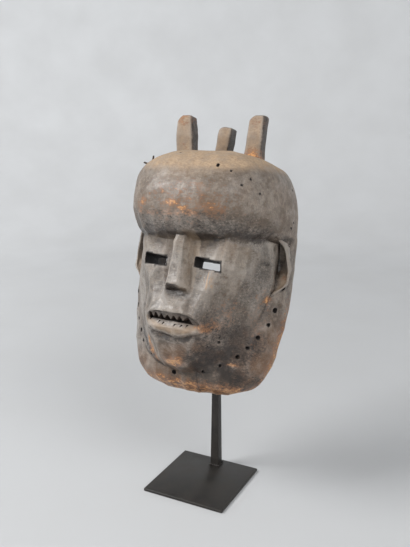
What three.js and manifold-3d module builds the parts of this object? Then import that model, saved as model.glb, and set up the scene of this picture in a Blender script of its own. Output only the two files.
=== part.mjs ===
// Carved wooden dance mask that leans back on a small steel stand.
// Millimetres, +Z up. The origin is the middle of the underside of the stand's plate, and the face looks to -Y.
// The mask is carved in a frame of its own, which is then leant back: x runs across to the viewer's right,
// y up along the flat back rim, and z forward from that rim. The names across, up and forward mean these.

import * as THREE from "three";
import { mergeVertices } from "three/addons/utils/BufferGeometryUtils.js";
import Module from "manifold-3d";

const wasm = await Module();
wasm.setup();

// Stand
const PLATE = { side: 120, thick: 4, chamfer: 0.6 };
const POST = { y: 46, foot: 12.8, head: 7, top: 262 };
const CRADLE = { up: 137, half: 83.2, tall: 10, thick: 4, finger: 20, neck: [12, 13, 12] };
const GAP = 0.3;

// How the mask sits on the stand: its lean from the vertical, and the lowest point of its back rim
const LEAN = 24.2;
const RIM_FOOT = new THREE.Vector3(0, -15, 145);

// Outside of the hood, headdress included, as rows from the bottom rim to the top rim. Each row is an arch that
// starts and ends on the rim: [up and forward at its crown, half width at the rim, up at the rim, squareness].
const HOOD = [
  [0, 0, 56, 7.5, 2],
  [-1, 8, 67, 11.5, 2.2],
  [-1, 22, 76.5, 16, 2.5],
  [4, 36, 86, 24, 2.8],
  [17, 46, 94.5, 41, 2.8],
  [40, 53, 101, 66, 2.7],
  [75, 56, 107, 100, 2.8],
  [120, 58, 110, 133, 3.1],
  [160, 60, 109.5, 165, 3.3],
  [176, 75, 106.9, 216, 2.45],
  [182.5, 117, 106.4, 219, 2.45],
  [188, 135, 106, 221.5, 2.4],
  [206, 148, 105.7, 224, 2.5],
  [215, 151.5, 105.5, 226.5, 2.6],
  [235, 155, 105.2, 231, 2.7],
  [262, 150, 104, 243, 2.9],
  [285, 133, 101.5, 258, 3.1],
  [301, 104, 97, 274, 3],
  [310, 70, 89.5, 291, 2.8],
  [314.5, 34, 78.5, 306, 2.6],
  [316, 0, 63, 315, 2],
];

// Inside of the hood, in the same form. The wall is left thick behind the ears.
const HOLLOW = [
  [11, 0, 44, 19.5, 2],
  [13, 22, 66, 27, 2.3],
  [30, 44, 85, 51, 2.2],
  [72, 68, 92, 102, 2],
  [116, 80, 88.5, 136, 2.05],
  [158, 92, 84, 168, 2.2],
  [195, 100, 86, 198, 2.3],
  [225, 110, 90.5, 222, 2.4],
  [250, 118, 90, 240, 2.6],
  [272, 109, 88, 256, 2.7],
  [288, 84, 82, 275, 2.6],
  [298, 52, 72, 291, 2.5],
  [304, 0, 50, 303, 2],
];

// The hood is turned a little against the face, anticlockwise for the viewer, about a point of the middle line
const HOOD_ROLL = THREE.MathUtils.degToRad(1.6);
const ROLL_UP = 160;

// Face, as curves over the height up: [up, value]
const FACE_FOOT = 23;
const FACE_TOP = 204;
const FACE_FORWARD = [
  [23, 62], [28, 74], [33, 80], [45, 90], [62, 100], [76, 108], [90, 117.5], [100, 115], [122, 109.5],
  [154, 112], [204, 117],
];
const FACE_HALF = [
  [23, 14], [25, 24], [30, 37], [42, 52], [55, 63], [70, 71], [90, 78.5], [110, 88], [135, 95.5], [156, 95],
  [184, 94.5], [204, 94],
];
const EDGE_FORWARD = [
  [23, 52], [40, 54], [60, 52], [90, 48], [120, 45], [150, 46], [170, 48], [184, 54], [204, 62],
];
const FRONT_HALF = [
  [23, 9], [40, 18], [62, 28], [78, 34], [90, 31], [122, 38], [147, 51], [160, 54], [204, 58],
];
const FRONT_BOW = 0.1;
const SIDE_SLOPE = [[23, 2.2], [60, 2.2], [110, 3], [130, 9], [204, 9]];
const FACE_BACK = 30;

// Nose: a wedge with a flat front, as its four edges from the viewer's left to right, and how far it stands out
const NOSE = { foot: 118.5, top: 192 };
const NOSE_EDGES = [
  [[118.5, -17], [150, -13], [192, -9.5]],
  [[118.5, -9], [150, -8], [192, -6.5]],
  [[118.5, 8.5], [150, 6.5], [192, 5]],
  [[118.5, 16], [150, 13], [192, 11.5]],
];
const NOSE_RISE = [[118.5, 12], [124, 16], [150, 14.5], [176, 13.5], [192, 11]];

// Mouth: the lip lines, the plane of the upper teeth, and the ledge of the lower teeth
const MOUTH = { half: 36.5, recess: 3.2, ledgeTop: 80, ledgeFoot: 71, lipRise: 3 };
const TEETH = {
  notches: [-30, -22, -13.5, -4.5, 4, 12, 23], notchTop: 86.5, tip: 82, halfFoot: 3.6, halfTop: 0.8,
};
const GAPE = { floor: 99, foot: 79 };
const upperLip = (across) => 89.6 - 7.5 * (across / 36) ** 4;
const lowerLipFoot = (across) => 62.3 + 9 * Math.abs(across / 36) ** 2.2;

// Eye slits
const EYES = [
  { left: -58.5, right: -20.5, low: 147, high: 160.5 },
  { left: 17.5, right: 52.5, low: 148, high: 161 },
];
const EYE_CORNER = 3.2;

// Ears: the crest of a flap that stands out from the side and opens forward: [up, across, forward]
const EAR_CREST = [
  [132, 96, 43], [144, 106, 36], [150, 111.5, 34], [157, 114.5, 34.5], [170, 114.5, 36], [187, 109.5, 41],
  [198, 105, 49], [205, 97, 54],
];
const EAR = { thick: 3, root: 23, wall: 106.5, floor: 98, lip: 8 };
const EAR_HOLLOW = { middle: [97, 171, 42], radii: [15, 33, 15] };

// Prongs on the crown: foot and tip as [across, up, forward], the widths there, the depth, and how far the left
// shoulder of the top drops. The tilt is how far the top drops from back to front.
const PRONGS = [
  { foot: [-53.5, 292, 50], tip: [-56.5, 359, 71], widths: [28, 23], depth: 22, drop: 8 },
  { foot: [-7.5, 296, 40], tip: [2, 347.5, 57], widths: [21, 18.5], depth: 22, drop: 2 },
  { foot: [45.5, 286, 51], tip: [49.5, 359, 72], widths: [25, 20.5], depth: 20, drop: 6 },
];
const PRONG_EDGE = 2.5;
const PRONG_TILT = 4.5;

// Holes, each given by the point where it meets the outside: [across, up, forward]
const LACE_DIAMETER = 5;
const LACE_HOLES = [
  [103.2, 118.4, 33], [96.4, 99, 35], [89, 80.7, 41], [79, 65.6, 44.5], [67.5, 52.6, 45.5], [47.6, 38.3, 49.5],
  [27.5, 27, 50],
];
const CHIN_HOLE = [-15.5, 18.5, 46];
const NAIL_DIAMETER = 3.6;
const NAIL_HOLES = [[102.7, 236.2, 23.5], [106.7, 204.5, 26], [107.8, 147.2, 30]];
const PEG = { diameter: 2.6, out: 4.2, into: 6 };
const PEGS = {
  peg_upper: { at: [-70, 284, 113.5], towards: [0.1, 0.88, 0.3] },
  peg_lower: { at: [-75.5, 276, 118], towards: [-0.93, 0.25, 0.2] },
};

const STEEL = { color: 0x23211f, roughness: 0.55, metalness: 0.6 };
const WOOD = { color: 0x6f6156, roughness: 0.7, metalness: 0 };
const DARK_WOOD = { color: 0x2b2420, roughness: 0.8, metalness: 0 };

// Value at x of the smooth curve through the stations [x, value]. Slopes are limited, so it never overshoots.
function curve(stations, x) {
  const last = stations.length - 1;
  const at = Math.min(stations[last][0], Math.max(stations[0][0], x));
  let i = 0;
  while (i < last - 1 && at > stations[i + 1][0]) i++;
  const run = (k) => stations[k + 1][0] - stations[k][0];
  const rise = (k) => (stations[k + 1][1] - stations[k][1]) / run(k);
  const slope = (k) => {
    if (k === 0) return rise(0);
    if (k === last) return rise(last - 1);
    if (rise(k - 1) * rise(k) <= 0) return 0;
    const before = 2 * run(k) + run(k - 1);
    const after = run(k) + 2 * run(k - 1);
    return (before + after) / (before / rise(k - 1) + after / rise(k));
  };
  const t = (at - stations[i][0]) / run(i);
  const start = (2 * t ** 3 - 3 * t ** 2 + 1) * stations[i][1] + (t ** 3 - 2 * t ** 2 + t) * run(i) * slope(i);
  const end = (3 * t ** 2 - 2 * t ** 3) * stations[i + 1][1] + (t ** 3 - t ** 2) * run(i) * slope(i + 1);
  return start + end;
}

const mix = (a, b, t) => a + (b - a) * t;
const clamp = (t) => Math.min(1, Math.max(0, t));

// Smooth minimum of two heights, rounded over the given radius
function blendLow(a, b, radius) {
  const t = clamp(0.5 + (0.5 * (b - a)) / radius);
  return mix(b, a, t) - radius * t * (1 - t);
}

// Point of a hood made of arched rows. s runs from side to side and t from the bottom row to the top, 0 to 1.
function archPoint(rows, s, t) {
  const along = t * (rows.length - 1);
  const column = (c) => curve(rows.map((row, k) => [k, row[c]]), along);
  const [crownUp, crownForward, half, rimUp, squareness] = [0, 1, 2, 3, 4].map(column);
  const angle = (s - 0.5) * Math.PI;
  const sine = Math.abs(Math.sin(angle));
  const cosine = Math.abs(Math.cos(angle));
  const radius = (sine ** squareness + cosine ** squareness) ** (-1 / squareness);
  const arch = s === 0 || s === 1 ? 0 : radius * cosine;
  return [
    Math.sign(angle) * half * radius * sine,
    rimUp + (crownUp - rimUp) * arch ** 1.5,
    crownForward * arch,
  ];
}

function rolled([across, up, forward]) {
  const sine = Math.sin(HOOD_ROLL);
  const cosine = Math.cos(HOOD_ROLL);
  const high = up - ROLL_UP;
  return [across * cosine - high * sine, ROLL_UP + high * cosine + across * sine, forward];
}

// Height of the face without nose and mouth: a slightly bowed front and two planed cheeks
function faceForward(across, up) {
  const out = Math.abs(across);
  const bow = (u) => FRONT_BOW * (Math.hypot(u, 20) - 20);
  const centre = curve(FACE_FORWARD, up);
  const half = curve(FACE_HALF, up);
  const edge = curve(EDGE_FORWARD, up);
  const frontHalf = curve(FRONT_HALF, up);
  const cheek = edge + ((half - out) * (centre - bow(frontHalf) - edge)) / Math.max(half - frontHalf, 4);
  return blendLow(centre - bow(out), cheek, 8);
}

// Closed solid of a geometry
function solidOf(geometry) {
  const bare = new THREE.BufferGeometry();
  bare.setAttribute("position", geometry.getAttribute("position"));
  bare.setIndex(geometry.getIndex());
  const merged = mergeVertices(bare, 1e-4);
  const vertProperties = merged.getAttribute("position").array;
  const triVerts = merged.getIndex().array;
  return new wasm.Manifold(new wasm.Mesh({ numProp: 3, vertProperties, triVerts }));
}

// Geometry of points and triangles
function surface(points, faces) {
  const geometry = new THREE.BufferGeometry();
  geometry.setAttribute("position", new THREE.Float32BufferAttribute(points.flat(), 3));
  geometry.setIndex(faces.flat());
  return geometry;
}

// Geometry of a solid, with flat faces
function geometryOf(solid) {
  const { vertProperties, triVerts, numProp } = solid.getMesh();
  const position = new Float32Array(triVerts.length * 3);
  triVerts.forEach((vertex, k) => {
    position.set(vertProperties.subarray(vertex * numProp, vertex * numProp + 3), k * 3);
  });
  const geometry = new THREE.BufferGeometry();
  geometry.setAttribute("position", new THREE.BufferAttribute(position, 3));
  geometry.computeVertexNormals();
  return geometry;
}

const joined = (solids) => solids.reduce((whole, piece) => whole.add(piece));
const cut = (solid, tools) => tools.reduce((left, tool) => left.subtract(tool), solid);

// Solid under a sheet. The sheet is a grid of points that point(s, t) gives for s and t from 0 to 1. Its border
// drops to the points that foot(point) gives, and the bottom is closed from the middle of those.
function sheetSolid(columns, rows, point, foot) {
  const points = [];
  const faces = [];
  const index = (i, j) => j * (columns + 1) + i;
  for (let j = 0; j <= rows; j++) {
    for (let i = 0; i <= columns; i++) points.push(point(i / columns, j / rows));
  }
  for (let j = 0; j < rows; j++) {
    for (let i = 0; i < columns; i++) {
      faces.push([index(i, j), index(i + 1, j), index(i + 1, j + 1)]);
      faces.push([index(i, j), index(i + 1, j + 1), index(i, j + 1)]);
    }
  }
  const border = [];
  for (let i = 0; i < columns; i++) border.push(index(i, 0));
  for (let j = 0; j < rows; j++) border.push(index(columns, j));
  for (let i = columns; i > 0; i--) border.push(index(i, rows));
  for (let j = rows; j > 0; j--) border.push(index(0, j));
  const first = points.length;
  const count = border.length;
  border.forEach((vertex) => points.push(foot(points[vertex])));
  const middle = [0, 1, 2].map((axis) => points.slice(first).reduce((sum, p) => sum + p[axis] / count, 0));
  points.push(middle);
  border.forEach((vertex, k) => {
    const next = (k + 1) % count;
    faces.push([border[next], vertex, first + k]);
    faces.push([border[next], first + k, first + next]);
    faces.push([first + next, first + k, first + count]);
  });
  return solidOf(surface(points, faces));
}

// Solid through a stack of like rings, closed at both ends. They turn anticlockwise seen from the last ring.
function loft(rings) {
  const size = rings[0].length;
  const points = rings.flat();
  const faces = [];
  for (let j = 0; j < rings.length - 1; j++) {
    for (let i = 0; i < size; i++) {
      const here = j * size + i;
      const next = j * size + ((i + 1) % size);
      faces.push([here, next, next + size], [here, next + size, here + size]);
    }
  }
  const end = (rings.length - 1) * size;
  for (let i = 1; i < size - 1; i++) {
    faces.push([0, i + 1, i], [end, end + i, end + i + 1]);
  }
  return solidOf(surface(points, faces));
}

// Bar of a shape drawn in across and up, running along forward between two depths
function through(shape, back, front) {
  const bar = new THREE.ExtrudeGeometry(shape, { depth: front - back, bevelEnabled: false, curveSegments: 3 });
  return solidOf(bar.translate(0, 0, back));
}

// Round bar that starts at a point and runs along a direction
function rod(start, direction, length, diameter, sides) {
  const bar = new THREE.CylinderGeometry(diameter / 2, diameter / 2, length, sides);
  const turn = new THREE.Quaternion().setFromUnitVectors(new THREE.Vector3(0, 1, 0), direction);
  bar.translate(0, length / 2, 0);
  bar.applyQuaternion(turn);
  bar.translate(...start.toArray());
  return bar;
}

// Hood and headdress: a solid arch that the hollow is cut out of afterwards
function hood() {
  const skirt = 4;
  return sheetSolid(36, 42, (s, t) => rolled(archPoint(HOOD, s, t)), ([x, y]) => [x, y, -skirt]);
}

function hollow() {
  const skirt = 12;
  return sheetSolid(22, 24, (s, t) => rolled(archPoint(HOLLOW, s, t)), ([x, y]) => [x, y, -skirt]);
}

// Everything behind the flat rim
function behindRim() {
  const block = new THREE.BoxGeometry(400, 600, 40);
  return solidOf(block.translate(0, 150, -20));
}

function faceBlock() {
  const rows = 22;
  const bend = [0, 0.3, 0.62, 0.84, 1];
  const columns = 2 * (bend.length - 1);
  const point = (s, t) => {
    const up = mix(FACE_FOOT, FACE_TOP, t ** 1.5);
    const half = curve(FACE_HALF, up);
    const side = Math.round((s - 0.5) * columns);
    const across = Math.sign(side) * bend[Math.abs(side)] * half;
    return [across, up, faceForward(across, up)];
  };
  const foot = ([across, up, forward]) => {
    const spread = (forward - FACE_BACK) / curve(SIDE_SLOPE, up);
    const atSide = Math.abs(across) > 0.99 * curve(FACE_HALF, up);
    return [across + (atSide ? Math.sign(across) * spread : 0), up, FACE_BACK];
  };
  return sheetSolid(columns, rows, point, foot);
}

function nose() {
  const rows = 8;
  const point = (s, t) => {
    const up = mix(NOSE.foot, NOSE.top, t);
    const edge = Math.round(3 * s);
    const across = curve(NOSE_EDGES[edge], up);
    const rise = edge === 1 || edge === 2 ? curve(NOSE_RISE, up) : -1;
    return [across, up, faceForward(across, up) + rise];
  };
  return sheetSolid(3, rows, point, ([x, y]) => [x, y, 95]);
}

// Shallow recess between the lip lines, whose floor is the plane of the teeth
function mouthRecess() {
  const point = (s, t) => {
    const across = mix(-MOUTH.half, MOUTH.half, s);
    const up = mix(upperLip(across), lowerLipFoot(across) + 1, t);
    return [across, up, faceForward(across, up) - MOUTH.recess];
  };
  return sheetSolid(12, 3, point, ([x, y]) => [x, y, 150]);
}

// Lower lip: proud of the face along its foot, and sloping in to a ledge with the lower teeth
function lowerLip() {
  const point = (s, t) => {
    const across = mix(-MOUTH.half, MOUTH.half, s);
    const ledge = Math.max(MOUTH.ledgeFoot, lowerLipFoot(across) + 1);
    const up = t < 0.5 ? mix(lowerLipFoot(across), ledge, 2 * t) : mix(ledge, MOUTH.ledgeTop, 2 * t - 1);
    const slope = clamp((up - ledge) / (MOUTH.ledgeTop - ledge));
    const rise = MOUTH.lipRise * (1 - (across / MOUTH.half) ** 4);
    return [across, up, faceForward(across, up) + mix(rise, -MOUTH.recess - 0.5, slope)];
  };
  return sheetSolid(12, 4, point, ([x, y]) => [x, y, 85]);
}

// Dark gap between the teeth: a zigzag of notches above, a straight foot below
function toothGap() {
  const { notches, notchTop, tip, halfFoot, halfTop } = TEETH;
  const shape = new THREE.Shape();
  shape.moveTo(notches[0] - 4, GAPE.foot + 1.5);
  shape.lineTo(notches[notches.length - 1] + 6, GAPE.foot);
  notches.slice()
    .reverse()
    .forEach((notch) => {
      shape.lineTo(notch + halfFoot, tip);
      shape.lineTo(notch + halfTop, notchTop);
      shape.lineTo(notch - halfTop, notchTop);
    });
  return through(shape, GAPE.floor, 140);
}

function eyeSlit({ left, right, low, high }) {
  const shape = new THREE.Shape();
  const corner = EYE_CORNER;
  shape.moveTo(left + corner, low);
  shape.lineTo(right - corner, low);
  shape.quadraticCurveTo(right, low, right, low + corner);
  shape.lineTo(right, high - corner);
  shape.quadraticCurveTo(right, high, right - corner, high);
  shape.lineTo(left + corner, high);
  shape.quadraticCurveTo(left, high, left, high - corner);
  shape.lineTo(left, low + corner);
  shape.quadraticCurveTo(left, low, left + corner, low);
  return through(shape, 60, 150);
}

// Flap of one ear: rings of a thin wedge whose tip follows the crest
function earFlap(side) {
  const rings = EAR_CREST.map(([up, across, forward]) => {
    const ring = [
      [EAR.floor - 3, up, forward - EAR.root],
      [EAR.wall, up, forward - EAR.root],
      [across, up, forward - EAR.thick / 2],
      [across - EAR.thick, up, forward + EAR.thick / 2],
      [EAR.floor, up, forward - EAR.lip],
      [EAR.floor - 3, up, forward - EAR.lip],
    ].map(([x, y, z]) => [side * x, y, z]);
    return side > 0 ? ring.reverse() : ring;
  });
  return loft(rings);
}

// Hollow between the edge of the face and the ear
function earHollow(side) {
  const scoop = new THREE.SphereGeometry(1, 16, 10);
  scoop.scale(...EAR_HOLLOW.radii);
  const [across, up, forward] = EAR_HOLLOW.middle;
  return solidOf(scoop.translate(side * across, up, forward));
}

// Prong: rounded squares from the foot up to a slanted top with a bevelled edge
function prong({ foot, tip, widths, depth, drop }) {
  const start = new THREE.Vector3(...foot);
  const end = new THREE.Vector3(...tip);
  const bevel = 1 - (1.1 * PRONG_EDGE) / widths[1];
  const steps = [[0, 1, 0], [0.5, 1, 0], [1, 1, 0], [1, (1 + bevel) / 2, 0.7], [1, bevel, 1]];
  const rings = steps.map(([t, shrink, lift]) => {
    const ring = [];
    for (let i = 0; i < 16; i++) {
      const angle = (i / 16) * 2 * Math.PI;
      const square = (Math.abs(Math.cos(angle)) ** 7 + Math.abs(Math.sin(angle)) ** 7) ** (-1 / 7);
      const side = shrink * square * Math.cos(angle);
      const front = -shrink * square * Math.sin(angle);
      const slant = drop * clamp((-0.1 - side) / 0.9) + 0.5 * PRONG_TILT * (front - 1);
      const up = mix(start.y, end.y - PRONG_EDGE - slant, t) + lift * PRONG_EDGE;
      const along = (up - start.y) / (end.y - start.y);
      const x = mix(start.x, end.x, along) + 0.5 * mix(...widths, along) * side;
      const z = mix(start.z, end.z, along) + 0.5 * depth * front;
      ring.push([x, up, z]);
    }
    return ring;
  });
  return loft(rings);
}

// Bored hole through the wall at a point of the outside, aimed at the hollow
function bored([across, up, forward], diameter) {
  const start = new THREE.Vector3(0.45 * across, up + 10, 20);
  const direction = new THREE.Vector3(across, up, forward).sub(start).normalize();
  return solidOf(rod(start, direction, 95, diameter, 12));
}

function pegLine({ at, towards }) {
  return { point: new THREE.Vector3(...at), direction: new THREE.Vector3(...towards).normalize() };
}

function pegHole(place) {
  const { point, direction } = pegLine(place);
  const start = point.clone().addScaledVector(direction, -PEG.into - GAP);
  return solidOf(rod(start, direction, 30, PEG.diameter + 2 * GAP, 12));
}

function peg(place) {
  const { point, direction } = pegLine(place);
  const start = point.clone().addScaledVector(direction, -PEG.into);
  return rod(start, direction, PEG.into + PEG.out, PEG.diameter, 12);
}

function maskSolid() {
  const mirrored = ([x, y, z]) => [-x, y, z];
  const laces = [...LACE_HOLES, ...LACE_HOLES.slice(0, -1).map(mirrored), CHIN_HOLE];
  const nails = [...NAIL_HOLES, ...NAIL_HOLES.map(mirrored)];
  const scooped = cut(hood(), [earHollow(1), earHollow(-1)]);
  const carved = joined([scooped, faceBlock(), nose(), earFlap(1), earFlap(-1)]);
  const lipped = carved.subtract(mouthRecess()).add(lowerLip());
  const whole = joined([lipped, ...PRONGS.map(prong)]);
  return cut(whole, [
    toothGap(),
    hollow(),
    behindRim(),
    ...EYES.map(eyeSlit),
    ...laces.map((place) => bored(place, LACE_DIAMETER)),
    ...nails.map((place) => bored(place, NAIL_DIAMETER)),
    ...Object.values(PEGS).map(pegHole),
  ]);
}

// Level square about the point (0, y, z), from the half of its side
function square(half, y, z) {
  return [[-1, -1], [1, -1], [1, 1], [-1, 1]].map(([i, j]) => [i * half, y + j * half, z]);
}

// Square plate with a small chamfer along its upper edge
function plateGeometry() {
  const { side, thick, chamfer } = PLATE;
  const half = side / 2;
  const edge = thick - chamfer;
  return geometryOf(loft([square(half, 0, 0), square(half, 0, edge), square(half - chamfer, 0, thick)]));
}

// Square post that narrows upwards
function postGeometry() {
  const { y, foot, head, top } = POST;
  return geometryOf(loft([square(foot / 2, y, PLATE.thick + GAP), square(head / 2, y, top)]));
}

// Cross-bar in the hollow whose ends turn forward along the inner walls, and the neck that sits on the post
function cradleGeometry(lean) {
  const { up, half, tall, thick, finger, neck } = CRADLE;
  const bar = new THREE.BoxGeometry(2 * half, tall, thick).translate(0, up, thick / 2 + 1);
  const ends = [-1, 1].map((side) => {
    const end = new THREE.BoxGeometry(thick, tall, finger);
    return end.translate(side * (half - thick / 2), up, finger / 2 + 1);
  });
  const tilted = [bar, ...ends].map((piece) => solidOf(piece.applyMatrix4(lean)));
  const block = new THREE.BoxGeometry(...neck);
  const middle = RIM_FOOT.y + up * Math.sin(THREE.MathUtils.degToRad(LEAN)) + neck[1] / 2 - 3;
  return geometryOf(joined([...tilted, solidOf(block.translate(0, middle, POST.top + GAP + neck[2] / 2))]));
}

function mesh(name, geometry, look) {
  const made = new THREE.Mesh(geometry, new THREE.MeshStandardMaterial(look));
  made.name = name;
  return made;
}

const carving = new THREE.Group();
carving.position.copy(RIM_FOOT);
carving.rotation.x = THREE.MathUtils.degToRad(90 - LEAN);
carving.updateMatrix();
carving.add(mesh("mask", geometryOf(maskSolid()), WOOD));
for (const [name, place] of Object.entries(PEGS)) carving.add(mesh(name, peg(place), DARK_WOOD));

const group = new THREE.Group();
group.add(carving);
group.add(mesh("base_plate", plateGeometry(), STEEL));
group.add(mesh("post", postGeometry(), STEEL));
group.add(mesh("cradle", cradleGeometry(carving.matrix), STEEL));

export default group;
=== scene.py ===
"""Looks of a carved wooden dance mask on its small steel stand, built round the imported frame.

Sizes are millimetres until a mesh is written. The carving is worked out in a frame of its own, which is then
leant back: across runs to the viewer's right, up along the flat back rim, and forward from that rim.
"""

import math
from functools import partial

import bpy
import numpy as np
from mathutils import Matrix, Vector


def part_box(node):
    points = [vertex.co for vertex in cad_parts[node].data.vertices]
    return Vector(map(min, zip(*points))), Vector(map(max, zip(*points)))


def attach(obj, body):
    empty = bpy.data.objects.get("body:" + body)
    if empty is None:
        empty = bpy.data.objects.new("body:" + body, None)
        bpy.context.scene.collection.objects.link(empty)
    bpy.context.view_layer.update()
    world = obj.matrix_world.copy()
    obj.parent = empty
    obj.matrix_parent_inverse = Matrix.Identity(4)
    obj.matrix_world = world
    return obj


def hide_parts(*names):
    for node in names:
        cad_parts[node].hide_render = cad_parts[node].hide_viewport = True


bl_info = {
    "name": "Carved dance mask",
    "version": (1, 0, 0),
    "blender": (4, 5, 0),
    "location": "View3D > Sidebar > Dance mask",
    "description": "Builds the carved mask, its pegs, its steel stand and a plain studio stage",
    "category": "Object",
}

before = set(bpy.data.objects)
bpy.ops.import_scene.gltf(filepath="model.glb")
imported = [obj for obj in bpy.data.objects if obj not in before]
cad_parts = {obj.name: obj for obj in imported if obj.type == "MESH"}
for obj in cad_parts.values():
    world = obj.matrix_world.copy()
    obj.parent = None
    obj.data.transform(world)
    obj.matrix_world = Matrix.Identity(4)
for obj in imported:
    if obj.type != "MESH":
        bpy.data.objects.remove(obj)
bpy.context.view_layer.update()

BODY = "root"
MM = 0.001

# How the carving sits on the stand: its lean from the vertical, the lowest point of its back rim, and the
# turn from its own frame to the row frame
LEAN = math.radians(24.2)
RIM_FOOT = (0.0, -15.0, 145.0)
TURN = np.array(((1, 0, 0), (0, math.sin(LEAN), -math.cos(LEAN)), (0, math.cos(LEAN), math.sin(LEAN))))

# Outside of the hood with the headdress, row by row from the bottom rim to the top rim:
# [up and forward at the crown, half width at the rim, up at the rim, squareness]
HOOD = (
    (0, 0, 56, 7.5, 2), (-1, 8, 67, 11.5, 2.2), (-1, 22, 76.5, 16, 2.5), (4, 36, 86, 24, 2.8),
    (17, 46, 94.5, 41, 2.8), (40, 53, 101, 66, 2.7), (75, 56, 107, 100, 2.8), (120, 58, 110, 133, 3.1),
    (160, 60, 109.5, 165, 3.3), (176, 75, 106.9, 216, 2.45), (182.5, 117, 106.4, 219, 2.45),
    (188, 135, 106, 221.5, 2.4), (206, 148, 105.7, 224, 2.5), (215, 151.5, 105.5, 226.5, 2.6),
    (235, 155, 105.2, 231, 2.7), (262, 150, 104, 243, 2.9), (285, 133, 101.5, 258, 3.1),
    (301, 104, 97, 274, 3), (310, 70, 89.5, 291, 2.8), (314.5, 34, 78.5, 306, 2.6), (316, 0, 63, 315, 2),
)

# Inside of the hood, in the same form
HOLLOW = (
    (11, 0, 44, 19.5, 2), (13, 22, 66, 27, 2.3), (30, 44, 85, 51, 2.2), (72, 68, 92, 102, 2),
    (116, 80, 88.5, 136, 2.05), (158, 92, 84, 168, 2.2), (195, 100, 86, 198, 2.3),
    (225, 110, 90.5, 222, 2.4), (250, 118, 90, 240, 2.6), (272, 109, 88, 256, 2.7),
    (288, 84, 82, 275, 2.6), (298, 52, 72, 291, 2.5), (304, 0, 50, 303, 2),
)

# Columns and rows of points on the outside and on the inside
OUTSIDE_GRID, HOLLOW_GRID = (244, 280), (104, 128)

# The hood is turned a little against the face about a point of the middle line
HOOD_ROLL = math.radians(1.6)
ROLL_UP = 160

# Face, as curves over the height up: (up, value)
FACE_FOOT, FACE_TOP = 23, 204
FACE_FORWARD = (
    (23, 62), (28, 74), (33, 80), (45, 90), (62, 100), (76, 108), (90, 117.5), (100, 115), (122, 109.5),
    (154, 112), (204, 117),
)
FACE_HALF = (
    (23, 14), (25, 24), (30, 37), (42, 52), (55, 63), (70, 71), (90, 78.5), (110, 88), (135, 95.5),
    (156, 95), (184, 94.5), (204, 94),
)
EDGE_FORWARD = (
    (23, 52), (40, 54), (60, 52), (90, 48), (120, 45), (150, 46), (170, 48), (184, 54), (204, 62),
)
FRONT_HALF = ((23, 9), (40, 18), (62, 28), (78, 34), (90, 31), (122, 38), (147, 51), (160, 54), (204, 58))
FRONT_BOW, BOW_RADIUS = 0.1, 20

# Ridge along each cheek: its height, and its place as a share of the way from the front to the edge
RIDGE_RISE, RIDGE_PLACE = 4.5, 0.5

SIDE_SLOPE = ((23, 2.2), (60, 2.2), (110, 3), (130, 9), (204, 9))

# Softness of the crease between the face and the hood, over the height
CREASE = ((23, 9), (45, 14), (80, 14), (110, 9), (130, 2.5), (204, 1.5))

# Nose: a wedge with a flat front, as the places of its four edges from the viewer's left to right
NOSE_FOOT, NOSE_SLANT = 118.5, 4.6
NOSE_EDGES = (
    ((118.5, -17), (150, -13), (192, -9.5)),
    ((118.5, -9), (150, -8), (192, -6.5)),
    ((118.5, 7.5), (150, 6), (192, 5)),
    ((118.5, 16), (150, 13), (192, 11.5)),
)
NOSE_RISE = ((118.5, 15), (121, 15.6), (125, 16.3), (150, 14.5), (176, 13.5), (192, 11))

# Mouth: the recess of the upper teeth, the ledge of the lower ones, and the lips' outlines
MOUTH_HALF, MOUTH_RECESS, LEDGE_TOP, LEDGE_FOOT, LIP_RISE = 36.5, 3.2, 80, 71, 3.8
UPPER_LIP, LIP_FOOT, LIP_SPAN = (89.6, 7.5), (62.3, 9), 36
NOTCHES = (-30, -22, -13.5, -4.5, 4, 12, 23)
NOTCH_TOP, NOTCH_TIP, NOTCH_HALF_TOP, NOTCH_HALF_FOOT = 86.5, 82, 0.8, 3.6
GAPE_FLOOR, GAPE_FOOT, BEFORE_FACE = 99, 79, 140

# Cuts between the lower teeth: (across, up) of each middle, and their half width, half height and slant
TOOTH_CUTS = ((-31, 79.5), (-18, 76.8), (-11.8, 75.6), (4.3, 74.8), (13.4, 75.4), (20.7, 76.2))
CUT_HALF, CUT_TALL, CUT_SLANT = 1.3, 1.8, 1.2

# Eye slits: (left, right, low, high), and how much they drop to the viewer's right
EYES = ((-58.5, -20.5, 147, 160.5), (17.5, 52.5, 148, 161))
EYE_CORNER, EYE_DROP = 3.2, 0.07

# Ears: the crest of a flap that stands out from the side: (up, across, forward)
EAR_CREST = (
    (132, 96, 43), (144, 106, 36), (150, 111.5, 34), (157, 114.5, 34.5), (170, 114.5, 36), (187, 111.5, 41),
    (198, 108, 47), (205, 101, 51),
)
EAR_THICK, EAR_ROOT, EAR_WALL, EAR_FLOOR = 3, 23, 106.5, 98
EAR_HOLLOW_MIDDLE, EAR_HOLLOW_RADII = (99, 171, 42), (13, 34, 15)

# Prongs on the crown: (foot, tip, width at foot and tip, depth, how far the top's left shoulder drops). The
# top also drops from back to front by the tilt.
PRONGS = (
    ((-53.5, 292, 50), (-56.5, 359, 71), (28, 23), 22, 8),
    ((-7.5, 296, 40), (2, 347.5, 57), (21, 18.5), 22, 2),
    ((45.5, 286, 51), (49.5, 359, 72), (25, 20.5), 20, 6),
)
PRONG_EDGE, PRONG_TILT, PRONG_SQUARE = 2.5, 4.5, 7

# Holes, each given by the point where it meets the outside: (across, up, forward)
LACE_DIAMETER, NAIL_DIAMETER = 5, 3.6
LACE_SIDE = (
    (103.2, 118.4, 33), (96.4, 99, 35), (89, 80.7, 41), (79, 65.6, 44.5), (67.5, 52.6, 45.5),
    (47.6, 38.3, 49.5),
)
LACE_MIDDLE = ((27.5, 27, 50), (-15.5, 18.5, 46))
NAIL_SIDE = ((102.7, 236.2, 23.5), (106.7, 204.5, 26), (107.8, 147.2, 30))

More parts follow.
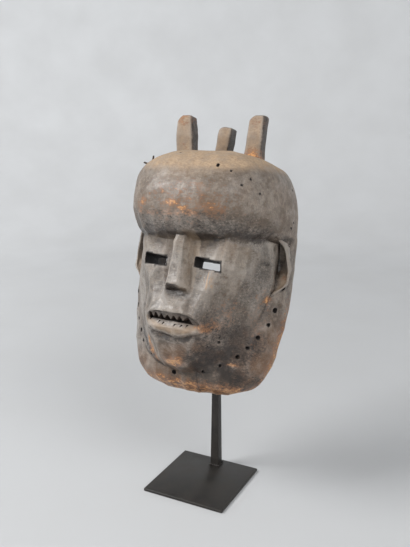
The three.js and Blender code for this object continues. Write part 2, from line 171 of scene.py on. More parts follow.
# Blind holes left by insects and lost nails: (across, up, forward, diameter)
BLIND_HOLES = (
    (39.5, 270.7, 141.9, 2.6), (39.8, 268.6, 142.6, 2.2), (56.2, 264.5, 137.9, 1.6),
    (69.6, 249.8, 130.8, 2.4), (75.6, 260.6, 121.7, 2.4), (85.4, 247.4, 109, 2), (92, 282, 17, 3.2),
    (103.1, 227.3, 28.8, 3.2), (100.1, 149.1, 38.9, 3), (52.8, 71, 75.5, 2.2), (51.8, 65.5, 72.4, 3),
    (-24, 290, 126, 1.8), (-88, 96, 38, 2), (-70, 240, 132, 1.8),
)
BLIND_DEPTH = 9

# Rings of a cutting tool along its depth, so that the walls of a cut have points of their own
ROD_RINGS, BAR_RINGS = 14, 24

# Pegs in the upper left of the headdress: the point where each meets the outside, and its direction
PEG_OUT, PEG_INTO, PEG_DIAMETER = 4.2, 6, 2.6
PEGS = {
    "peg_upper": ((-70, 284, 113.5), (0.1, 0.88, 0.3)),
    "peg_lower": ((-75.5, 276, 118), (-0.93, 0.25, 0.2)),
}

# Places where the patina has worn through to orange wood: middle (across, up, forward), radii, strength
WORN_PLACES = (
    ((-10, 218.5, 152), (12, 4.5, 12), 1.0), ((-3, 215.5, 152), (14, 5, 12), 0.6),
    ((7, 211.5, 150), (11, 5, 12), 0.85), ((19, 208, 148), (14, 4, 14), 0.85),
    ((-53, 219, 144), (8, 6, 14), 0.85), ((-60, 214, 138), (12, 14, 16), 0.45),
    ((24, 240, 153), (15, 8, 14), 0.55), ((46, 216, 144), (26, 12, 16), 0.6),
    ((10, 226, 150), (72, 30, 60), 0.4), ((-20, 206, 148), (60, 4, 20), 0.55),
    ((38, 77, 96), (12, 6, 14), 0.8), ((48, 84, 90), (18, 9, 16), 0.5),
    ((-6, 31, 77), (15, 7, 16), 0.92), ((5, 34, 80), (9, 6, 16), 0.85),
    ((-50, 54, 67), (5, 14, 12), 0.9), ((-45, 43, 62), (6, 10, 12), 0.9),
    ((-37, 33, 58), (8, 7, 12), 0.8), ((64, 41, 47), (8, 2.2, 8), 0.95),
    ((-57, 355, 71), (14, 12, 14), 0.9), ((50, 354, 72), (12, 14, 14), 0.55),
    ((47, 305, 59), (15, 20, 18), 1.15), ((-53, 322, 62), (14, 6, 14), 0.35),
    ((2, 350, 58), (10, 6, 14), 0.4), ((95, 128, 45), (6, 7, 8), 0.85),
    ((108, 158, 36), (5, 12, 8), 0.45), ((60, 100, 85), (20, 26, 26), 0.35),
    ((90, 100, 50), (14, 50, 30), 0.3),
)

# Lines that soot, dust and painted shade follow, the shade under the lip, the nose and the brow and in the
# jaw's crease: points (across, up), how far the mark reaches, and the least height forward
MARK_LINES = {
    "ledge": (((-36, 79), (-18, 71), (0, 69), (18, 70), (34, 76)), 7, 84),
    "teeth": (((-34, 83), (-16, 86), (0, 86.5), (16, 86), (34, 83)), 6, 95),
    "lip_foot": (((-30, 65), (-18, 60), (0, 58), (18, 60), (32, 65)), 8, 84),
    "jaw": (((76, 74), (64, 58), (52, 46), (36, 36), (8, 27)), 34, -9),
    "left_jaw": (((-70, 70), (-58, 50), (-44, 36), (-20, 25)), 8, -9),
    "nose_foot": (((-14, 117), (13, 117)), 3, 100),
    "brow": (((-92, 181), (-60, 180), (60, 180), (92, 181)), 3, 50),
}

# Crack in the collar, from a lacing hole down to the rim: (across, up)
CRACK = ((19, 25), (18.2, 18), (18.6, 12), (18, 5), (18.2, -2))

# Fine scratches below the right eye: middle (across, up) and radii of the patch that they cover
SCRATCHES = ((39, 135), (6.5, 12))

# Numbers that mix the bits of a cell and of a seed
CELL_FACTORS = (0x9E3779B97F4A7C15, 0xC2B2AE3D27D4EB4F, 0x165667B19E3779F9)
SEED_FACTOR = 0xD6E8FEB86659FD93
BIT_FACTORS = ((30, 0xBF58476D1CE4E5B9), (27, 0x94D049BB133111EB), (31, 1))

# Camera of the photograph: focal length in pixels of the frame's height, place and angles
VIEW_HEIGHT = 547
FOCAL_PIXELS = 680
CAMERA_PLACE = (397.2, -770.63, 521.68)
CAMERA_PAN = math.radians(26.985)
CAMERA_PITCH = math.radians(14.104)

# Lights, in metres: the point that they face, and the place, size and share of the key light's power of
# each
LIT_POINT = (0.0, -0.03, 0.33)
SOFTBOXES = {"key_softbox": ((-1.45, -1.15, 1.7), 1.0, 1.0), "fill_softbox": ((1.35, -0.85, 1.5), 1.2, 0.42)}
ROOM_COLOUR, ROOM_STRENGTH = "#E6E8EA", 0.46

SMOOTH_ANGLE = math.radians(38)


def length(name, description, default, low, high):
    """Length in metres that a user may change."""
    return bpy.props.FloatProperty(
        name=name, description=description, default=default, min=low, max=high, unit="LENGTH", precision=4
    )


def hex_colour(name, description, default):
    """Colour that a user may change."""
    return bpy.props.StringProperty(name=name, description=f"{description}, as sRGB hex", default=default)


class MaskSizes(bpy.types.PropertyGroup):
    """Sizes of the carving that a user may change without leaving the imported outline"""

    cut_size: length("Cut size", "Width of the flat cuts that the carver's blade left", 0.02, 0.006, 0.04)
    blade_radius: length("Blade radius", "Radius of the blade: a smaller one cuts deeper", 0.046, 0.02, 0.5)
    unevenness: length("Unevenness", "How far the surface wanders from the drawn one", 0.0009, 0, 0.003)
    rim_round: length("Rim rounding", "Radius of the worn edges of the back rim", 0.0032, 0.0005, 0.006)


class MaskColours(bpy.types.PropertyGroup):
    """Colours of the wood, its patina, the painted light and shade, and the steel"""

    patina: hex_colour("Patina", "Grey-brown of the handled wood", "#7C7770")
    # The dark patina colour is also painted on as shade under the headdress, the nose and the lip and along
    # the jaw.
    dark_patina_and_shade: hex_colour("Dark patina", "Smoke-dark brown that fills the hollows", "#231913")
    # The dust colour is also painted on as light on the lower ears, the right side of the nose and the inner
    # cheek planes.
    dust_and_painted_light: hex_colour("Dust", "Dry beige dust on what faces up", "#B39A7E")
    worn: hex_colour("Worn wood", "Orange-brown wood where the patina has worn through", "#9A663D")
    steel: hex_colour("Steel", "Black of the waxed steel", "#2B2927")


class StageSizes(bpy.types.PropertyGroup):
    """Floor and light of the studio"""

    floor_radius: length("Floor radius", "Radius of the level part of the floor", 1.5, 1.2, 4)
    cove_radius: length("Cove radius", "Radius of the bend between the floor and the backdrop", 0.9, 0.2, 2)
    backdrop: hex_colour("Backdrop", "Pale grey of the floor and backdrop", "#C2C3C4")
    key_power: bpy.props.FloatProperty(
        name="Key light", description="Power of the large soft light on the left, in watts", default=44, min=0
    )


# Numbers and curves


def curve(stations, x):
    """Smooth curve through the stations (x, value): a cubic over each span, with slopes limited so that it
    never overshoots."""
    at, value = np.asarray(stations, float).T
    run = np.diff(at)
    rise = np.diff(value) / run
    before = 2 * run[1:] + run[:-1]
    after = run[1:] + 2 * run[:-1]
    with np.errstate(divide="ignore", invalid="ignore"):
        inner = (before + after) / (before / rise[:-1] + after / rise[1:])
    slope = np.concatenate((rise[:1], np.where(rise[:-1] * rise[1:] > 0, inner, 0), rise[-1:]))
    x = np.clip(x, at[0], at[-1])
    span = np.clip(np.searchsorted(at, x, side="right") - 1, 0, len(run) - 1)
    t = (x - at[span]) / run[span]
    start = (2 * t**3 - 3 * t**2 + 1) * value[span] + (t**3 - 2 * t**2 + t) * run[span] * slope[span]
    end = (3 * t**2 - 2 * t**3) * value[span + 1] + (t**3 - t**2) * run[span] * slope[span + 1]
    return start + end


def ramp(low, high, x):
    """0 below low, 1 above high, and 3t^2 - 2t^3 between them."""
    t = np.clip((x - low) / (high - low), 0, 1)
    return t * t * (3 - 2 * t)


def blend_low(a, b, radius):
    """Smaller of a and b, rounded where they meet over the given radius."""
    t = np.clip(0.5 + 0.5 * (b - a) / radius, 0, 1)
    return b + (a - b) * t - radius * t * (1 - t)


def unit(vectors):
    """The vectors at length 1."""
    return vectors / np.maximum(np.linalg.norm(vectors, axis=-1, keepdims=True), 1e-9)


def full_turn(count):
    """Angles of a full turn in even steps."""
    return np.arange(count) / count * math.tau


def scatter(cells, seed):
    """Three numbers from 0 to 1 for each whole-numbered cell, mixed from its bits, so each run gives the
    same."""
    key = cells.astype(np.int64).view(np.uint64)
    state = np.zeros(key.shape[:-1], np.uint64)
    for axis, factor in enumerate(CELL_FACTORS):
        state ^= key[..., axis] * np.uint64(factor)
    state += np.uint64(seed * SEED_FACTOR % 2**64)
    draws = []
    for _ in range(3):
        state = state + np.uint64(CELL_FACTORS[0])
        bits = state
        for shift, factor in BIT_FACTORS:
            bits = (bits ^ (bits >> np.uint64(shift))) * np.uint64(factor)
        draws.append((bits >> np.uint64(11)).astype(float) / 2**53)
    return np.stack(draws, -1)


def wander(points, size, seed):
    """Smooth noise from -1 to 1: random values at the corners of a grid of the given size, blended by
    ramps."""
    cell = np.floor(points / size)
    t = ramp(0, 1, points / size - cell)
    total = np.zeros(points.shape[:-1])
    for corner in np.ndindex(2, 2, 2):
        weight = np.prod(np.where(np.array(corner) == 1, t, 1 - t), axis=-1)
        total += weight * scatter(cell + np.array(corner), seed)[..., 0]
    return 2 * total - 1


def blade_cuts(points, size, radius, seed):
    """Height that a curved blade leaves over the deepest line of its cuts: the squared distance to the
    middle of the nearest cut over twice the blade's radius. Each cell of a grid holds one middle. Also
    gives each cut a number of its own from 0 to 1."""
    cell = np.floor(points / size)
    nearest = np.full(points.shape[:-1], np.inf)
    own = np.zeros(points.shape[:-1])
    for corner in np.ndindex(3, 3, 3):
        other = cell + np.array(corner) - 1
        draws = scatter(other, seed)
        distance = ((points - (other + 0.15 + 0.7 * draws) * size) ** 2).sum(-1)
        own = np.where(distance < nearest, draws[..., 0], own)
        nearest = np.minimum(nearest, distance)
    return nearest / (2 * radius), own


# The carving


def row_curves(rows):
    """Each column of a hood's rows as stations over the row's number."""
    return [tuple(enumerate(column)) for column in zip(*rows)]


def arch(rows, s, t):
    """Point of a hood of arched rows: each row runs from rim to rim as a superellipse, and its height falls
    from the crown to the rim with the arch to the power 1.5. s goes from side to side, t from the bottom
    row up."""
    along = t * (len(rows) - 1)
    crown_up, crown_forward, half, rim_up, square = (curve(column, along) for column in row_curves(rows))
    angle = (s - 0.5) * math.pi
    sine, cosine = np.abs(np.sin(angle)), np.abs(np.cos(angle))
    radius = (sine**square + cosine**square) ** (-1 / square)
    rise = np.where((s <= 0) | (s >= 1), 0, radius * cosine)
    across = np.sign(angle) * half * radius * sine
    return np.stack((across, rim_up + (crown_up - rim_up) * rise**1.5, crown_forward * rise), -1)


def rolled(points, roll=HOOD_ROLL):
    """The points turned by the hood's roll about the middle of the face."""
    across, high, forward = points[..., 0], points[..., 1] - ROLL_UP, points[..., 2]
    sine, cosine = math.sin(roll), math.cos(roll)
    return np.stack((across * cosine - high * sine, ROLL_UP + high * cosine + across * sine, forward), -1)


def front_bow(out):
    """How far the front of the face has bent back, at the given distance from its middle line."""
    return FRONT_BOW * (np.hypot(out, BOW_RADIUS) - BOW_RADIUS)


def face_forward(across, up):
    """Height of the face without nose and mouth: a slightly bowed front and two planed cheeks, whose
    meeting is rounded a little. Each cheek is two planes that meet at a low ridge."""
    out = np.abs(across)
    centre, half, edge, front_half = (
        curve(line, up) for line in (FACE_FORWARD, FACE_HALF, EDGE_FORWARD, FRONT_HALF)
    )
    drop = centre - front_bow(front_half) - edge
    inwards = np.clip((half - out) / np.maximum(half - front_half, 4), 0, None)
    ridge = np.minimum(inwards / (1 - RIDGE_PLACE), np.maximum(1 - inwards, 0) / RIDGE_PLACE)
    cheek = edge + inwards * drop + RIDGE_RISE * ridge * ramp(84, 118, up)
    face = blend_low(centre - front_bow(out), cheek, 2.5)
    beyond = edge - (out - half) * curve(SIDE_SLOPE, up)
    face = np.where(out > half, np.minimum(face, beyond), face)
    return face - 4 * np.clip(FACE_FOOT + 1 - up, 0, None) - 12 * np.clip(up - FACE_TOP + 4, 0, None)


def nose_rise(across, up):
    """Height of the nose over the face: a flat front with sloping sides, cut off at a slant at its foot."""
    left_base, left, right, right_base = (curve(line, up) for line in NOSE_EDGES)
    from_left = (across - left_base) / (left - left_base)
    from_right = (right_base - across) / (right_base - right)
    side = np.clip(blend_low(blend_low(from_left, from_right, 0.05), 1.0, 0.12), 0, 1)
    return curve(NOSE_RISE, up) * side * np.clip((up - NOSE_FOOT + 1) / NOSE_SLANT, 0, 1)


def mouth_rise(across, up):
    """Height of the mouth over the face: a recess for the upper teeth, and a lower lip that slopes in from
    its proud foot to a ledge. Both lips' outlines are powers of the distance from the middle."""
    out = np.abs(across)
    lip = UPPER_LIP[0] - UPPER_LIP[1] * (out / LIP_SPAN) ** 4
    foot = LIP_FOOT[0] + LIP_FOOT[1] * (out / LIP_SPAN) ** 2.2
    ledge = np.maximum(LEDGE_FOOT, foot + 1)
    recess = -MOUTH_RECESS * ramp(lip + 0.5, lip - 0.7, up)
    slope = np.clip((up - ledge) / (LEDGE_TOP - ledge), 0, 1)
    proud = LIP_RISE * (1 - np.clip(out / MOUTH_HALF, 0, 1) ** 4)
    lower = proud * (1 - slope) - (MOUTH_RECESS + 0.5) * slope
    below = ramp(foot - 0.6, foot + 0.8, up)
    groove = -2.6 * ramp(foot - 8, foot - 0.5, up) * (1 - below)
    rise = np.where(up > LEDGE_TOP, recess, lower) * below + groove
    return rise * ramp(MOUTH_HALF + 1.5, MOUTH_HALF - 1.5, out)


def carved_outside(s, t):
    """Outside of the mask: the hood, raised to the face, nose and mouth where those stand in front of
    it."""
    points = rolled(arch(HOOD, s, t))
    across, up, forward = points[..., 0], points[..., 1], points[..., 2]
    face = face_forward(across, up) + mouth_rise(across, up) + nose_rise(across, up)
    raised = -blend_low(-forward, -face, curve(CREASE, up))
    points[..., 2] = forward + (raised - forward) * ramp(0, 10, forward)
    return points


def carved_inside(s, t):
    """Inside of the hood."""
    return rolled(arch(HOLLOW, s, t))


def even_steps(line, weight, count):
    """Parameters that divide a line of points into count parts of like length, shorter where weight is
    larger."""
    steps = np.linalg.norm(np.diff(line, axis=0), axis=-1) * 0.5 * (weight[1:] + weight[:-1])
    total = np.concatenate(((0,), np.cumsum(steps)))
    return np.interp(np.linspace(0, total[-1], count + 1), total, np.linspace(0, 1, len(total)))


def sheet_grid(shape, columns, rows):
    """Parameters s and t of a sheet's grid, spaced evenly along its middle line and along one row of the
    face, and closer at the rim, at the mouth and at the eyes."""
    fine = np.linspace(0, 1, 4000)
    middle = shape(np.full_like(fine, 0.5), fine)
    near_rim = np.maximum(ramp(0.012, 0.0, fine), ramp(0.985, 1.0, fine))
    mouth = ramp(56, 62, middle[:, 1]) * ramp(96, 90, middle[:, 1]) * (middle[:, 2] > 80)
    steps_t = even_steps(middle, 1 + 1.5 * near_rim + 0.9 * mouth, rows)
    across = shape(fine, np.full_like(fine, 0.37))
    near_side = np.maximum(ramp(0.02, 0.0, fine), ramp(0.98, 1.0, fine))
    centre = ramp(64, 44, np.abs(across[:, 0]))
    steps_s = even_steps(across, 1 + 1.2 * near_side + 0.35 * centre, columns)
    return np.meshgrid(steps_s, steps_t)


def round_rim(points, radius, outwards):
    """The points near the rim's plane moved along the plane, so that the edge becomes a quarter circle."""
    depth = np.clip(radius - points[..., 2], 0, radius)
    inset = radius - np.sqrt(np.maximum(radius**2 - depth**2, 0))
    normals = unit(np.cross(np.gradient(points, axis=1), np.gradient(points, axis=0)))
    return points + outwards * unit(normals * (1, 1, 0)) * inset[..., None]


# Meshes


def stood(points):
    """Points of the carving's frame, in millimetres, moved to the row frame in metres."""
    return (points @ TURN.T + RIM_FOOT) * MM


def unstood(places):
    """Points of the row frame, in metres, moved to the carving's frame in millimetres."""
    return (places / MM - RIM_FOOT) @ TURN


def read(items, name, width, kind=float):
    """One row of numbers for each item of a mesh's collection."""
    values = np.empty(len(items) * width, kind)
    items.foreach_get(name, values)
    return values.reshape(-1, width)


def grid_faces(rows, columns, closed=False):
    """Corner numbers of the quads of a grid whose points are stored row by row."""
    i = np.arange(columns if closed else columns - 1)
    j = np.arange(rows - 1)[:, None] * columns
    here, beside = j + i, j + (i + 1) % columns
    return np.stack((here, beside, beside + columns, here + columns), -1).reshape(-1, 4)


def new_piece(name, places, quads, others=(), closed=True):
    """Object at the origin whose mesh has the given points, in metres, and faces. Where it is closed, its
    faces are turned outwards, so that the volume within them counts as positive."""
    mesh = bpy.data.meshes.new(name)
    mesh.from_pydata(places.reshape(-1, 3).tolist(), [], [*quads.tolist(), *np.asarray(others).tolist()])
    mesh.validate()
    mesh.update()
    mesh.calc_loop_triangles()
    corners = read(mesh.loop_triangles, "vertices", 3, np.int32)
    a, b, c = read(mesh.vertices, "co", 3)[corners].transpose(1, 0, 2)
    if closed and (a * np.cross(b, c)).sum() < 0:
        mesh.flip_normals()
    mesh.update()
    piece = bpy.data.objects.new(name, mesh)
    bpy.context.scene.collection.objects.link(piece)
    return piece


def hood_solid(name, shape, grid, radius, outwards, back):
    """Closed solid of a hood's surface and one flat face across its rim, which lies at the height back. The
    rim's edge is rounded by the radius."""
    points = round_rim(shape(*sheet_grid(shape, *grid)), radius, outwards)
    points[[0, -1], :, 2] = back
    points[:, [0, -1], 2] = back
    rows, columns = points.shape[:2]
    number = np.arange(rows * columns).reshape(rows, columns)
    border = np.concatenate((number[0], number[1:, -1], number[-1, -2::-1], number[-2:0:-1, 0]))
    points = points.reshape(-1, 3)
    middle = points[border].mean(0)
    fan = np.stack((np.roll(border, -1), border, np.full_like(border, len(points))), -1)
    return new_piece(name, stood(np.concatenate((points, middle[None]))), grid_faces(rows, columns), fan)


def tube_solid(name, rings, move=stood):
    """Closed solid through a stack of like rings, which is an array of rings, points and coordinates. An
    array of such stacks gives several solids in one mesh."""
    count, size = rings.shape[-3:-1]
    ends = np.array((np.arange(size)[::-1], np.arange(size) + (count - 1) * size))
    first = np.arange(0, rings.size // 3, count * size)[:, None, None]
    quads = (grid_faces(count, size, closed=True) + first).reshape(-1, 4)
    return new_piece(name, move(rings.reshape(-1, 3)), quads, (ends + first).reshape(-1, size))


def rods(name, starts, directions, lengths, diameters, sides=20):
    """Straight round bars, one for each start, in one mesh: like circles at even steps of the bar's
    line."""
    side = unit(np.cross(directions, (0.3, 0.8, 0.52)))
    other = np.cross(directions, side)
    angle = full_turn(sides)[:, None, None]
    circle = (np.cos(angle) * side + np.sin(angle) * other).transpose(1, 0, 2)
    circle = circle * np.asarray(diameters, float)[:, None, None] / 2
    ways = directions * np.broadcast_to(lengths, len(starts))[:, None]
    reach = np.linspace(0, 1, ROD_RINGS)[:, None, None] * ways[:, None, None]
    return tube_solid(name, (starts[:, None] + circle)[:, None] + reach)


def through(name, outline, back, front):
    """Bar of an outline in across and up, between two depths."""
    depths = np.linspace(back, front, BAR_RINGS)
    return tube_solid(name, np.stack([np.insert(np.array(outline, float), 2, depth, 1) for depth in depths]))


def combined(body, tools):
    """The body's mesh after each tool in turn: (tool, "UNION" or "DIFFERENCE"). The tools are removed."""
    for k, (tool, operation) in enumerate(tools):
        modifier = body.modifiers.new(f"step_{k}", "BOOLEAN")
        modifier.operation = operation
        modifier.solver = "MANIFOLD"
        modifier.object = tool
    graph = bpy.context.evaluated_depsgraph_get()
    mesh = bpy.data.meshes.new_from_object(body.evaluated_get(graph))
    body.modifiers.clear()
    old = body.data
    body.data = mesh
    for unused in (old, *(tool.data for tool, _ in tools)):
        bpy.data.meshes.remove(unused)
    if not len(mesh.polygons):
        raise RuntimeError(f"nothing is left of {body.name}")
    return body


def ear_flap(side):
    """Flap of an ear: a thin wedge whose tip follows the crest, as rings across the height."""
    crest_up, crest_across, crest_forward = zip(*EAR_CREST)
    up = np.linspace(crest_up[0], crest_up[-1], 46)
    sink = 3 + 8 * ramp(158, 176, up)
    across = curve(list(zip(crest_up, crest_across)), up)
    forward = curve(list(zip(crest_up, crest_forward)), up)
    corners = (
        (0 * up + EAR_FLOOR - 3, forward - EAR_ROOT),
        (0 * up + EAR_WALL, forward - EAR_ROOT),
        (0.4 * EAR_WALL + 0.6 * across, forward - 0.45 * EAR_ROOT),
        (across, forward - EAR_THICK / 2),
        (across - 0.3 * EAR_THICK, forward + 0.35 * EAR_THICK),
        (across - EAR_THICK, forward + EAR_THICK / 2),
        (across - EAR_THICK - 1.8, forward - 0.3 * sink),
        (0.5 * (across + EAR_FLOOR) - 1.5, forward - 0.8 * sink),
        (0 * up + EAR_FLOOR, forward - sink),
        (0 * up + EAR_FLOOR - 3, forward - sink),
    )
    return tube_solid("ear_flap", np.stack([np.stack((side * x, up, z), -1) for x, z in corners], 1))


def ear_hollow(side):
    """Hollow between the edge of the face and the ear: level ellipses whose size is the root of one less
    the cubed height, cut flat at that edge."""
    high = np.sin(np.linspace(-math.pi / 2 + 0.05, math.pi / 2 - 0.05, 32))[:, None]
    wide = np.sqrt(1 - np.abs(high) ** 3)
    angle = full_turn(48)
    shape = np.stack((wide * np.cos(angle), high + 0 * angle, wide * np.sin(angle)), -1)
    points = np.array(EAR_HOLLOW_MIDDLE) + shape * EAR_HOLLOW_RADII
    points[..., 0] = side * np.maximum(points[..., 0], curve(FACE_HALF, points[..., 1]) + 0.4)
    return tube_solid("ear_hollow", points)


def prong(foot, tip, widths, depth, drop):
    """Prong on the crown: rounded squares along a line from the foot up to a slanted top, and then smaller
    ones over the rounded edge of that top."""
    foot, tip = np.array(foot, float), np.array(tip, float)
    angle = full_turn(64)
    square = np.abs(np.cos(angle)) ** PRONG_SQUARE + np.abs(np.sin(angle)) ** PRONG_SQUARE
    square **= -1 / PRONG_SQUARE
    bend = np.linspace(0, math.pi / 2, 9)[1:]
    inset = 2 * PRONG_EDGE / widths[1] * (1 - np.cos(bend))
    t = np.concatenate((np.linspace(0, 1, 40), np.ones(len(bend) + 2)))[:, None]
    shrink = np.concatenate((np.ones(40), 1 - inset, (0.5, 0.1)))[:, None]
    lift = PRONG_EDGE * np.concatenate((np.zeros(40), np.sin(bend), (1, 1)))[:, None]
    side, front = shrink * square * np.cos(angle), -shrink * square * np.sin(angle)
    slant = drop * np.clip((-0.1 - side) / 0.9, 0, 1) ** 1.4 + 0.5 * PRONG_TILT * (front - 1)
    up = foot[1] + (tip[1] - PRONG_EDGE - slant - foot[1]) * t + lift
    along = (up - foot[1]) / (tip[1] - foot[1])
    width = widths[0] + (widths[1] - widths[0]) * along
    x = foot[0] + (tip[0] - foot[0]) * along + 0.5 * width * side
    z = foot[2] + (tip[2] - foot[2]) * along + 0.5 * depth * front
    return tube_solid("prong", np.stack((x, up, z), -1))


def hole_lines():
    """Outer ends, inner starts and diameters of the lacing and nail holes, which are aimed from a point in
    the hollow through the wall."""
    laces, nails = ([*places, *((-x, *rest) for x, *rest in places)] for places in (LACE_SIDE, NAIL_SIDE))
    laces += LACE_MIDDLE
    ends = np.array([*laces, *nails], float)
    starts = np.column_stack((0.45 * ends[:, 0], ends[:, 1] + 10, np.full(len(ends), 20)))
    return ends, starts, np.repeat((LACE_DIAMETER, NAIL_DIAMETER), (len(laces), len(nails)))


def blind_lines():
    """Outer ends, directions inwards, diameters and depths of the insect and lost nail holes, which stop
    inside the wall."""
    holes = np.array(BLIND_HOLES, float)
    ends, diameters = holes[:, :3], holes[:, 3]
    inner = np.column_stack((0.3 * ends[:, 0], np.clip(ends[:, 1], 60, 230), 0 * ends[:, 0]))
    return ends, unit(inner - ends), diameters, np.minimum(BLIND_DEPTH, 3 * diameters)


def bores():
    """Round bars that cut the lacing and nail holes, the blind holes, and the sockets of the pegs."""
    ends, starts, diameters = hole_lines()
    yield rods("bored_holes", starts, unit(ends - starts), 95, diameters)
    ends, inwards, diameters, depths = blind_lines()
    yield rods("blind_holes", ends - 4 * inwards, inwards, 4 + depths, diameters, sides=10)
    ends, directions = np.array(list(PEGS.values()), float).transpose(1, 0, 2)
    directions = unit(directions)
    widths = np.full(len(ends), PEG_DIAMETER + 0.6)
    yield rods("peg_holes", ends - directions * (PEG_INTO + 0.3), directions, 30, widths, sides=12)


def tooth_gap():
    """Dark gap between the teeth: a zigzag of notches above and a straight foot below."""
    outline = [(NOTCHES[0] - 4, GAPE_FOOT + 1.5), (NOTCHES[-1] + 6, GAPE_FOOT)]
    for notch in reversed(NOTCHES):
        outline += [(notch + NOTCH_HALF_FOOT, NOTCH_TIP), (notch + NOTCH_HALF_TOP, NOTCH_TOP)]
        outline += [(notch - NOTCH_HALF_TOP, NOTCH_TOP)]
    return through("tooth_gap", outline, GAPE_FLOOR, BEFORE_FACE)


def tooth_cut(across, up):
    """Slanted cut between two lower teeth."""
    corners = ((-0.4, -1), (0.4, -1), (1, 1), (-1, 1))
    outline = [(across + x * CUT_HALF + y * CUT_SLANT, up + y * CUT_TALL) for x, y in corners]
    return through("tooth_cut", outline, face_forward(across, up) - 8, BEFORE_FACE)


def eye_slit(left, right, low, high):
    """Eye slit: a level rectangle with round corners that drops a little to the right, cut through the
    face."""
    quarter = np.linspace(0, math.pi / 2, 7)
    inner = EYE_CORNER * np.array(((1, -1), (1, 1), (-1, 1), (-1, -1)))
    corners = np.array(((right, low), (right, high), (left, high), (left, low))) - inner
    angle = quarter + np.array((-1, 0, 1, 2))[:, None] * math.pi / 2
    across = corners[:, :1] + EYE_CORNER * np.cos(angle)
    up = corners[:, 1:] + EYE_CORNER * np.sin(angle) - EYE_DROP * (across - (left + right) / 2)
    return through("eye_slit", np.column_stack((across.ravel(), up.ravel())), 60, 150)


# Patina and painted light and shade, worked out from the finished mesh


def spread(values, ends, rounds):
    """Values after some rounds of taking half of each point's own value and half of its neighbours'
    mean."""
    values = values.reshape(len(values), -1).astype(float)
    here, there = np.concatenate((ends, ends[:, ::-1])).T
    degree = np.maximum(np.bincount(here, minlength=len(values)), 1)[:, None]
    for _ in range(rounds):
        total = [np.bincount(here, column[there], len(values)) for column in values.T]
        values = 0.5 * values + 0.5 * np.stack(total, -1) / degree
    return values


def hood_place(rows, carving):
    """Row number and reach of each point against a hood of arched rows. The row is found by halving the
    range, and the reach is the row's superellipse formula: 1 on the hood, less inside it and more
    outside."""
    crown_up, crown_forward, half, rim_up, square = (partial(curve, column) for column in row_curves(rows))
    across, up, forward = rolled(carving, -HOOD_ROLL).T
    forward = np.clip(forward, 0, None)
    low, high = np.zeros(len(up)), np.full(len(up), len(rows) - 1.0)
    for _ in range(14):
        row = (low + high) / 2
        rise = np.clip(forward / np.maximum(crown_forward(row), 0.1), 0, 1)
        above = rim_up(row) + (crown_up(row) - rim_up(row)) * rise**1.5 > up
        high = np.where(above, row, high)
        low = np.where(above, low, row)
    power = square(row)
    reach = (np.abs(across) / half(row)) ** power + (forward / np.maximum(crown_forward(row), 0.1)) ** power
    return row, reach ** (1 / power)


def near_line(carving, line, width):
    """1 on a line of points across and up, falling to 0 at the given distance from it."""
    nearest = np.full(len(carving), np.inf)
    for start, end in zip(line[:-1], line[1:]):
        along = np.subtract(end, start)
        t = np.clip(((carving[:, :2] - start) @ along) / (along @ along), 0, 1)
        nearest = np.minimum(nearest, np.linalg.norm(carving[:, :2] - start - t[:, None] * along, axis=-1))
    return ramp(width, 0, nearest)


def in_cuts(carving):
    """1 on the walls of the small holes and of the eye slits, which are painted dark as shade, and 0
    elsewhere: the distance from each hole's line is compared with its radius, and the place with each slit's
    rectangle."""
    ends, starts, diameters = hole_lines()
    blind, inwards, blind_diameters, depths = blind_lines()
    lines = [*zip(ends, unit(ends - starts), diameters, np.full(len(ends), 26))]
    lines += zip(blind, -inwards, blind_diameters, depths + 1)
    inside = np.zeros(len(carving), bool)
    for end, way, width, depth in lines:
        along = (carving - end) @ way
        out = np.linalg.norm(carving - end - along[:, None] * way, axis=-1)
        inside |= (out < width / 2 + 0.25) & (along < 3) & (along > -depth)
    for left, right, low, high in EYES:
        x = carving[:, 0] - (left + right) / 2
        y = carving[:, 1] - (low + high) / 2 + EYE_DROP * x
        slit = (np.abs(x) < (right - left) / 2 + 0.3) & (np.abs(y) < (high - low) / 2 + 0.3)
        inside |= slit & (carving[:, 2] > 60)
    return inside.astype(float)


def blade_work(piece, sizes):
    """Stores the patina and the painted light and shade, then moves every point along its normal by the
    blade's cuts and the hand's unevenness."""
    mesh = piece.data
    places = read(mesh.vertices, "co", 3)
    carving = unstood(places)
    ends = read(mesh.edges, "vertices", 2, np.int32)
    normal = unit(spread(read(mesh.vertices, "normal", 3), ends, 3))
    size, radius = sizes.cut_size / MM, sizes.blade_radius / MM
    bent = carving + 4 * wander(carving, 40, 5)[:, None]
    cuts, facet = blade_cuts(bent * (1.0, 0.66, 0.85), size, radius, seed=11)
    broad, broad_facet = blade_cuts(bent * (0.8, 1.0, 0.8), 1.5 * size, 1.6 * radius, seed=23)
    headdress = ramp(204, 212, carving[:, 1])
    cut = cuts + (0.3 * broad - 0.8 * cuts) * headdress
    # The patina here includes the painted light and shade.
    patina = patina_and_painted_light_of(carving, places, normal, ends, cut)
    patina["facet"] = np.where(headdress > 0.5, 0.5 + 0.35 * (broad_facet - 0.5), facet)
    for name, values in patina.items():
        layer = mesh.attributes.new(name, "FLOAT", "POINT")
        layer.data.foreach_set("value", np.clip(values, 0, 1).astype(np.float32))
    hand = sizes.unevenness / MM * wander(carving, 34, 7) + 0.22 * wander(carving, 7, 9)
    near_rim = ramp(0.5, 5, carving[:, 2])
    from_mouth = np.hypot(carving[:, 0] * 0.32, carving[:, 1] - 78)
    calm = np.where(carving[:, 2] > 70, np.clip(ramp(5, 14, from_mouth), 0.2, 1), 1) * (0.3 + 0.7 * near_rim)
    crack = near_line(carving, CRACK, 1.1) * (carving[:, 2] > 20)
    places = places + normal * ((cut - 0.9 + hand) * calm - 0.5 * crack)[:, None] * MM
    mesh.vertices.foreach_set("co", places.ravel())
    mesh.update()


